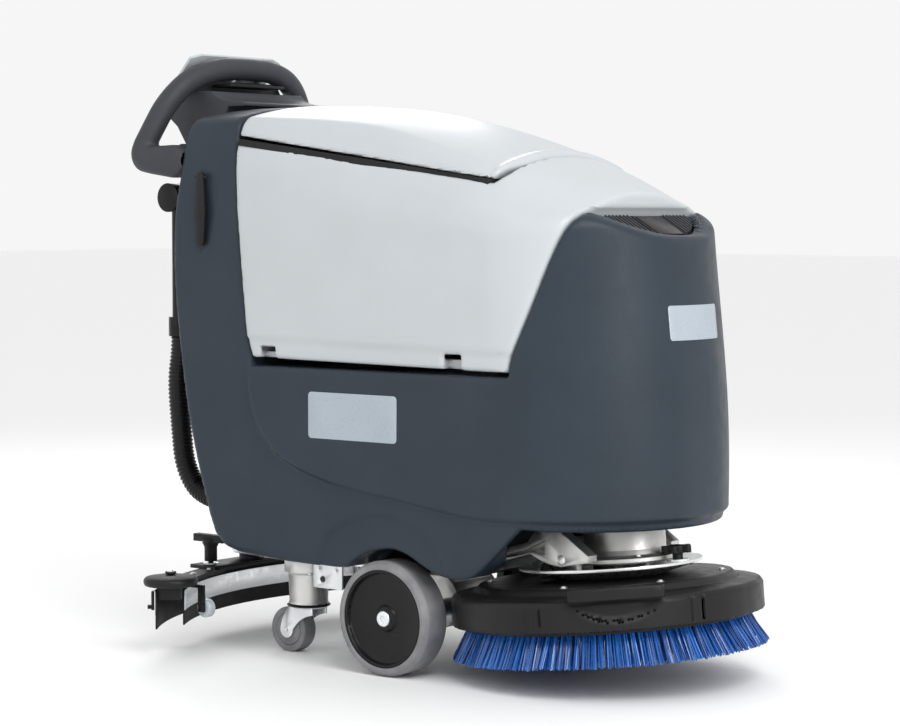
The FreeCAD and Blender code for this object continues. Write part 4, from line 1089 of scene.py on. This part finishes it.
# Each plain piece: its node, edge rounding in millimetres, finish.
PLAIN_PIECES = (
    ("lid_seal", 0.5, "black_rubber"), ("float_cage", 0.6, "black_plastic"),
    ("filler_flap", 0.8, "gloss_black"),
    ("chassis_frame", 0.8, "zinc_steel"), ("transaxle", 2.0, "cast_aluminium"),
    ("drive_motor", 2.0, "dark_steel"), ("caster_housings", 1.2, "cast_aluminium"),
    ("caster_fork_right", 0.8, "zinc_steel"), ("caster_fork_left", 0.8, "zinc_steel"),
    ("caster_wheel_right", 2.2, "grey_rubber"), ("caster_wheel_left", 2.2, "grey_rubber"),
    ("drive_tyre_right", 1.4, "grey_rubber"), ("drive_tyre_left", 1.4, "grey_rubber"),
    ("drive_hub_right", 1.0, "gloss_black"), ("drive_hub_left", 1.0, "gloss_black"),
    ("drive_shaft_right", 0.6, "zinc_steel"), ("drive_shaft_left", 0.6, "zinc_steel"),
    ("battery_rear", 3.0, "black_plastic"), ("battery_front", 3.0, "black_plastic"),
    ("vacuum_motor", 1.5, "dark_steel"), ("console_housing", 3.0, "charcoal_plastic"),
    ("console_faceplate", 1.4, "tank_plastic"), ("console_display", 0.6, "display_glass"),
    ("button_brush", 1.4, "black_rubber"), ("button_vacuum", 1.4, "black_rubber"),
    ("button_water", 1.4, "black_rubber"), ("button_boost", 1.4, "black_rubber"),
    ("key_switch", 0.8, "black_plastic"), ("drive_paddle", 1.5, "black_plastic"),
    ("side_latch", 1.5, "black_plastic"),
    ("brush_plate", 1.2, "black_plastic"),
    ("deck_plate", 1.2, "machined_aluminium"), ("brush_motor", 2.0, "cast_aluminium"),
    ("deck_handle", 2.5, "black_plastic"), ("star_knob", 1.5, "black_plastic"),
    ("lift_yoke", 2.0, "cast_aluminium"), ("squeegee_arms", 0.8, "zinc_steel"),
    ("squeegee_collar", 1.2, "black_plastic"), ("squeegee_bar", 1.6, "black_plastic"),
    ("squeegee_blades", 0.4, "black_rubber"), ("blade_straps", 0.3, "zinc_steel"),
    ("squeegee_knob_right", 1.6, "black_plastic"), ("squeegee_knob_left", 1.6, "black_plastic"),
    ("squeegee_bumper_right", 1.5, "black_plastic"), ("squeegee_bumper_left", 1.5, "black_plastic"),
    ("support_wheel_right", 1.2, "clear_plastic"), ("support_wheel_left", 1.2, "clear_plastic"),
    ("drain_pipe", 1.5, "gloss_black"), ("hose_fittings", 1.5, "black_plastic"),
)


def body_of(node):
    bodies = frame["record"]["behaviour"]["bodies"]
    return next(body for body, nodes in bodies.items() if node in nodes)


class SCRUBBER_OT_plain_parts(bpy.types.Operator):
    """Round the edges of the turned, cut and moulded parts and give them their finish."""
    bl_idname = "scrubber.plain_parts"
    bl_label = "Plain parts"

    def execute(self, context):
        for node, width, material in PLAIN_PIECES:
            place_piece(refined(node, width), body_of(node), material, [node])
        return {"FINISHED"}


# ---------------------------------------------------------------- repeated pieces

def new_tree(name, sizes):
    """An empty geometry tree with named number inputs."""
    tree = bpy.data.node_groups.new(name, "GeometryNodeTree")
    tree.interface.new_socket("Geometry", in_out="INPUT", socket_type="NodeSocketGeometry")
    tree.interface.new_socket("Geometry", in_out="OUTPUT", socket_type="NodeSocketGeometry")
    for label, value in sizes.items():
        kind = "NodeSocketInt" if isinstance(value, int) else "NodeSocketFloat"
        tree.interface.new_socket(label, in_out="INPUT", socket_type=kind).default_value = value
    return tree, tree.nodes.new("NodeGroupInput"), tree.nodes.new("NodeGroupOutput")


def close_tree(tree, geometry, output, material):
    """Finish a tree with Realize Instances and Set Material."""
    real = tree.nodes.new("GeometryNodeRealizeInstances")
    dressed = tree.nodes.new("GeometryNodeSetMaterial")
    dressed.inputs["Material"].default_value = finish(material)
    tree.links.new(geometry, real.inputs["Geometry"])
    tree.links.new(real.outputs["Geometry"], dressed.inputs["Geometry"])
    tree.links.new(dressed.outputs["Geometry"], output.inputs["Geometry"])


def math_node(tree, operation, a, b):
    node = tree.nodes.new("ShaderNodeMath")
    node.operation = operation
    for socket, value in zip(node.inputs, (a, b)):
        if isinstance(value, (int, float)):
            socket.default_value = value
        else:
            tree.links.new(value, socket)
    return node.outputs[0]


def set_sizes(modifier, tree, sizes):
    """Set a modifier's inputs by their sockets' identifiers."""
    for item in tree.interface.items_tree:
        if item.in_out == "INPUT" and item.name in sizes:
            modifier[item.identifier] = sizes[item.name]


def grown(name, tree, sizes, source=None):
    """Run a geometry tree on a mesh and keep the result as a plain piece."""
    mesh = source or bpy.data.meshes.new(name)
    piece = bpy.data.objects.new(name, mesh)
    bpy.context.collection.objects.link(piece)
    modifier = piece.modifiers.new("Repeat", "NODES")
    modifier.node_group = tree
    set_sizes(modifier, tree, sizes)
    return applied(piece, sharp=40.0)


def point_mesh(name, spots, ways, spins=None, scales=None):
    """Loose points with a direction, spin and scale each, for instances to stand on."""
    mesh = bpy.data.meshes.new(name)
    mesh.from_pydata([tuple(point) for point in spots], [], [])
    way = mesh.attributes.new("way", "FLOAT_VECTOR", "POINT")
    way.data.foreach_set("vector", np.array(ways, float).ravel())
    spin = mesh.attributes.new("spin", "FLOAT", "POINT")
    spin.data.foreach_set("value", np.array(spins if spins is not None else [0.0] * len(spots), float))
    size = mesh.attributes.new("size", "FLOAT", "POINT")
    size.data.foreach_set("value", np.array(scales if scales is not None else [1.0] * len(spots), float))
    return mesh


def stood_on(tree, group_in, shape):
    """Stand a shape on each incoming point, its Z along the point's way."""
    way = tree.nodes.new("GeometryNodeInputNamedAttribute")
    way.data_type = "FLOAT_VECTOR"
    way.inputs["Name"].default_value = "way"
    aim = tree.nodes.new("FunctionNodeAlignRotationToVector")
    aim.axis = "Z"
    tree.links.new(way.outputs["Attribute"], aim.inputs["Vector"])
    spin = tree.nodes.new("GeometryNodeInputNamedAttribute")
    spin.inputs["Name"].default_value = "spin"
    about = tree.nodes.new("FunctionNodeAxisAngleToRotation")
    about.inputs["Axis"].default_value = (0, 0, 1)
    tree.links.new(spin.outputs["Attribute"], about.inputs["Angle"])
    turned = tree.nodes.new("FunctionNodeRotateRotation")
    turned.rotation_space = "LOCAL"
    tree.links.new(aim.outputs["Rotation"], turned.inputs["Rotation"])
    tree.links.new(about.outputs["Rotation"], turned.inputs["Rotate By"])
    scale = tree.nodes.new("GeometryNodeInputNamedAttribute")
    scale.inputs["Name"].default_value = "size"
    stand = tree.nodes.new("GeometryNodeInstanceOnPoints")
    tree.links.new(group_in.outputs["Geometry"], stand.inputs["Points"])
    tree.links.new(shape, stand.inputs["Instance"])
    tree.links.new(turned.outputs["Rotation"], stand.inputs["Rotation"])
    tree.links.new(scale.outputs["Attribute"], stand.inputs["Scale"])
    return stand.outputs["Instances"]


def bolt_tree(material, washer=1.0):
    """Round-headed bolts with a washer and a dished drive."""
    tree, group_in, group_out = new_tree("bolts_" + material, {"Radius": 0.005})
    radius = group_in.outputs["Radius"]
    join = tree.nodes.new("GeometryNodeJoinGeometry")
    for width, low, high, sides in ((1.0, 0.0, 0.62, 24), (1.55 * washer, -0.05, 0.12, 28),
                                    (0.45, 0.4, 0.64, 6)):
        disc = tree.nodes.new("GeometryNodeMeshCylinder")
        disc.inputs["Vertices"].default_value = sides
        shift = tree.nodes.new("GeometryNodeTransform")
        tree.links.new(math_node(tree, "MULTIPLY", radius, width), disc.inputs["Radius"])
        tree.links.new(math_node(tree, "MULTIPLY", radius, high - low), disc.inputs["Depth"])
        middle = tree.nodes.new("ShaderNodeCombineXYZ")
        tree.links.new(math_node(tree, "MULTIPLY", radius, (low + high) / 2), middle.inputs["Z"])
        tree.links.new(disc.outputs["Mesh"], shift.inputs["Geometry"])
        tree.links.new(middle.outputs["Vector"], shift.inputs["Translation"])
        tree.links.new(shift.outputs["Geometry"], join.inputs["Geometry"])
    close_tree(tree, stood_on(tree, group_in, join.outputs["Geometry"]), group_out, material)
    return tree


def bristle_tree():
    """Thin tapered bristles on points."""
    tree, group_in, group_out = new_tree("bristles", {"Length": 0.06, "Thickness": 0.0012})
    cone = tree.nodes.new("GeometryNodeMeshCone")
    cone.fill_type = "NGON"
    cone.inputs["Vertices"].default_value = 4
    cone.inputs["Side Segments"].default_value = 2
    tree.links.new(group_in.outputs["Length"], cone.inputs["Depth"])
    tree.links.new(group_in.outputs["Thickness"], cone.inputs["Radius Bottom"])
    tree.links.new(math_node(tree, "MULTIPLY", group_in.outputs["Thickness"], 0.85),
                   cone.inputs["Radius Top"])
    instances = stood_on(tree, group_in, cone.outputs["Mesh"])
    shade = tree.nodes.new("FunctionNodeRandomValue")
    shade.inputs["Seed"].default_value = 7
    store = tree.nodes.new("GeometryNodeStoreNamedAttribute")
    store.domain = "INSTANCE"
    store.inputs["Name"].default_value = "bristle_shade"
    tree.links.new(instances, store.inputs["Geometry"])
    tree.links.new(shade.outputs[1], store.inputs["Value"])
    close_tree(tree, store.outputs["Geometry"], group_out, "bristle_nylon")
    return tree


class SCRUBBER_OT_brush(bpy.types.Operator):
    """Plant the disc brush's tufts, flared outwards, in rings."""
    bl_idname = "scrubber.brush"
    bl_label = "Brush"

    def execute(self, context):
        sizes = context.scene.scrubber_brush
        chance = np.random.default_rng(11)
        spots, ways, spins, scales = [], [], [], []
        place = DECK_PLACE
        turn = place.to_3x3()
        for row in range(sizes.rows):
            outer = row == 0
            root = 238 - 21 * row
            lean_out = math.radians(29 - 3.2 * row)
            tufts = round(sizes.tufts * root / 238)
            for tuft in range(tufts):
                around = 2 * math.pi * (tuft + 0.5 * (row % 2)) / tufts
                tilt = chance.normal(0, 0.028)
                side_tilt = chance.normal(0, 0.03)
                for _ in range(sizes.bristles if outer or row == 1 else 5):
                    spread = chance.normal(0, 2.3, 2)
                    flare = chance.normal(0, 0.035, 2)
                    angle = around + spread[0] / root
                    lean = lean_out + tilt + flare[0]
                    side = side_tilt + flare[1]
                    base = Vector(((root + spread[1]) * math.cos(angle),
                                   (root + spread[1]) * math.sin(angle), 54))
                    way = Vector((math.sin(lean) * math.cos(angle + side),
                                  math.sin(lean) * math.sin(angle + side),
                                  -math.cos(lean)))
                    spots.append((place @ base + Vector((AXLE, 0, 0))) * MM)
                    ways.append(turn @ way)
                    spins.append(chance.uniform(0, 3.0))
                    scales.append(min(1.0, 55.5 / 60 / math.cos(lean)) * chance.uniform(0.985, 1.0))
        seeds = point_mesh("brush_tufts", spots, ways, spins, scales)
        tufts = grown("brush_tufts", bristle_tree(), {"Length": 0.06, "Thickness": 0.0013}, seeds)
        place_piece(tufts, "brush", "bristle_nylon", ["brush_bristles"])
        return {"FINISHED"}


def ribbed_tree(material):
    """A ribbed tube along a curve: its radius rises and falls once for each pitch."""
    tree, group_in, group_out = new_tree("ribbed_tube", {"Radius": 0.019, "Pitch": 0.0075, "Depth": 0.002})
    resample = tree.nodes.new("GeometryNodeResampleCurve")
    resample.mode = "LENGTH"
    tree.links.new(group_in.outputs["Geometry"], resample.inputs["Curve"])
    tree.links.new(math_node(tree, "DIVIDE", group_in.outputs["Pitch"], 6.0), resample.inputs["Length"])
    along = tree.nodes.new("GeometryNodeSplineParameter")
    turns = math_node(tree, "DIVIDE", along.outputs["Length"], group_in.outputs["Pitch"])
    wave = math_node(tree, "COSINE", math_node(tree, "MULTIPLY", turns, 2 * math.pi), 0.0)
    drop = math_node(tree, "MULTIPLY", math_node(tree, "SUBTRACT", wave, 1.0),
                     math_node(tree, "MULTIPLY", group_in.outputs["Depth"], 0.5))
    radius = math_node(tree, "ADD", group_in.outputs["Radius"], drop)
    thick = tree.nodes.new("GeometryNodeSetCurveRadius")
    tree.links.new(resample.outputs["Curve"], thick.inputs["Curve"])
    tree.links.new(radius, thick.inputs["Radius"])
    ring = tree.nodes.new("GeometryNodeCurvePrimitiveCircle")
    ring.inputs["Resolution"].default_value = 36
    ring.inputs["Radius"].default_value = 1.0
    tube = tree.nodes.new("GeometryNodeCurveToMesh")
    tube.inputs["Fill Caps"].default_value = True
    tree.links.new(thick.outputs["Curve"], tube.inputs["Curve"])
    tree.links.new(ring.outputs["Curve"], tube.inputs["Profile Curve"])
    if "Scale" in tube.inputs:
        tree.links.new(radius, tube.inputs["Scale"])
    close_tree(tree, tube.outputs["Mesh"], group_out, material)
    return tree


# Control points of the two hoses, in metres, from their upper or inner end.
AHEAD = AXLE * MM
VACUUM_ROUTE = ((-0.560, 0.014, 0.5996), (-0.561, 0.013, 0.540), (-0.580, 0.012, 0.466),
                (-0.586, 0.008, 0.388),
                (-0.571, 0.004, 0.312), (-0.541, 0.0, 0.248), (-0.540, 0.0, 0.1904))
DRAIN_ROUTE = ((-0.436, -0.150, 0.262), (-0.517, -0.150, 0.262), (-0.570, -0.150, 0.314),
               (-0.580, -0.150, 0.400),
               (-0.588, -0.150, 0.482), (-0.577, -0.150, 0.540), (-0.5772, -0.150, 0.566))


def route_curve(name, route):
    curve = bpy.data.curves.new(name, "CURVE")
    curve.dimensions = "3D"
    curve.resolution_u = 16
    spline = curve.splines.new("NURBS")
    spline.points.add(len(route) - 1)
    for point, (x, y, z) in zip(spline.points, route):
        point.co = (x + AHEAD, y, z, 1.0)
    spline.order_u = 3
    spline.use_endpoint_u = True
    piece = bpy.data.objects.new(name, curve)
    bpy.context.collection.objects.link(piece)
    return piece


def hose(name, route, radius, body, node):
    """A corrugated hose along its route."""
    sizes = bpy.context.scene.scrubber_hose
    guide = route_curve(name + "_line", route)
    line = bpy.data.meshes.new_from_object(guide.evaluated_get(bpy.context.evaluated_depsgraph_get()))
    guide.name = name
    tree = ribbed_tree("gloss_black")
    modifier = guide.modifiers.new("Ribs", "NODES")
    modifier.node_group = tree
    set_sizes(modifier, tree, {"Radius": radius, "Pitch": sizes.pitch, "Depth": sizes.depth})
    piece = applied(guide, sharp=60.0)
    place_piece(piece, body, "gloss_black", [node])
    return piece


class SCRUBBER_OT_hoses(bpy.types.Operator):
    """Run the vacuum hose and the drain hose."""
    bl_idname = "scrubber.hoses"
    bl_label = "Hoses"

    def execute(self, context):
        hose("vacuum_hose_ribbed", VACUUM_ROUTE, 0.019, "chassis", "vacuum_hose")
        hose("drain_hose_ribbed", DRAIN_ROUTE, 0.020, "chassis", "drain_hose")
        return {"FINISHED"}


# ---------------------------------------------------------------- stage

def soft_light(name, place, aim, size, power, colour=(1, 1, 1)):
    light = bpy.data.lights.new(name, "AREA")
    light.shape = "RECTANGLE"
    light.size, light.size_y = size
    light.energy = power
    light.color = colour
    lamp = bpy.data.objects.new(name, light)
    lamp.location = place
    lamp.rotation_euler = (Vector(aim) - Vector(place)).to_track_quat("-Z", "Y").to_euler()
    bpy.context.collection.objects.link(lamp)


class SCRUBBER_OT_stage(bpy.types.Operator):
    """Set the camera, the pale floor and the soft studio lights."""
    bl_idname = "scrubber.stage"
    bl_label = "Stage"

    def execute(self, context):
        stage = context.scene.scrubber_stage
        aim = Vector((-0.00827, 0, 0.52768))
        distance = 4.5626
        level = distance * 0.99830
        camera_data = bpy.data.cameras.new("camera")
        camera_data.lens = 101.46
        camera = bpy.data.objects.new("camera", camera_data)
        camera_height = 0.7933
        camera.location = (aim.x + level * math.sin(stage.azimuth), -level * math.cos(stage.azimuth),
                           camera_height)
        camera.rotation_euler = (aim - camera.location).to_track_quat("-Z", "Y").to_euler()
        context.collection.objects.link(camera)
        context.scene.camera = camera
        corners = [(-40, -40, 0), (40, -40, 0), (40, 40, 0), (-40, 40, 0)]
        floor = mesh_object("floor", corners, [(0, 1, 2, 3)])
        material, _, shader = blank_material("pale_floor")
        shader.inputs["Base Color"].default_value = (0.93, 0.93, 0.93, 1)
        shader.inputs["Roughness"].default_value = 0.6
        floor.data.materials.append(material)
        world = bpy.data.worlds.new("studio")
        world.use_nodes = True
        world.node_tree.nodes["Background"].inputs["Color"].default_value = (1.0, 1.0, 1.0, 1)
        world.node_tree.nodes["Background"].inputs["Strength"].default_value = 0.92
        context.scene.world = world
        soft_light("key", (2.6, -1.6, 3.2), (0.2, 0, 0.5), (1.6, 1.6), stage.key)
        soft_light("nose", (3.4, -0.7, 1.5), (0.4, 0, 0.55), (0.45, 1.5), 26.0)
        soft_light("rim", (-2.6, 2.6, 2.6), (-0.2, 0, 0.6), (1.4, 1.4), 24.0)
        soft_light("side", (-1.4, -3.2, 1.6), (-0.1, 0, 0.5), (1.2, 1.8), 7.0)
        context.scene.view_settings.view_transform = "Standard"
        return {"FINISHED"}


class SCRUBBER_PT_panel(bpy.types.Panel):
    """The scrubber's buttons and settings in the sidebar."""
    bl_label = "Floor scrubber"
    bl_idname = "SCRUBBER_PT_panel"
    bl_space_type = "VIEW_3D"
    bl_region_type = "UI"
    bl_category = "Scrubber"

    def draw(self, context):
        for step in STEPS:
            self.layout.operator(step.bl_idname)
        for group, settings in SETTINGS.items():
            holder = getattr(context.scene, group)
            for field in settings.__annotations__:
                self.layout.prop(holder, field)


SETTINGS = {"scrubber_body": BodyworkSettings, "scrubber_brush": BrushSettings, "scrubber_hose": HoseSettings,
            "scrubber_stage": StageSettings}
STEPS = (SCRUBBER_OT_stage, SCRUBBER_OT_hoses, SCRUBBER_OT_bodywork, SCRUBBER_OT_tank, SCRUBBER_OT_handle,
         SCRUBBER_OT_deck_cover, SCRUBBER_OT_grille, SCRUBBER_OT_badges, SCRUBBER_OT_plain_parts,
         SCRUBBER_OT_small_parts, SCRUBBER_OT_fasteners, SCRUBBER_OT_brush)


def register():
    for group, settings in SETTINGS.items():
        bpy.utils.register_class(settings)
        setattr(bpy.types.Scene, group, bpy.props.PointerProperty(type=settings))
    for step in STEPS + (SCRUBBER_PT_panel,):
        bpy.utils.register_class(step)


def unregister():
    for step in STEPS + (SCRUBBER_PT_panel,):
        bpy.utils.unregister_class(step)
    for group, settings in SETTINGS.items():
        delattr(bpy.types.Scene, group)
        bpy.utils.unregister_class(settings)


def main():
    register()
    for step in STEPS:
        family, name = step.bl_idname.split(".")
        getattr(getattr(bpy.ops, family), name)()


if __name__ == "__main__":
    main()
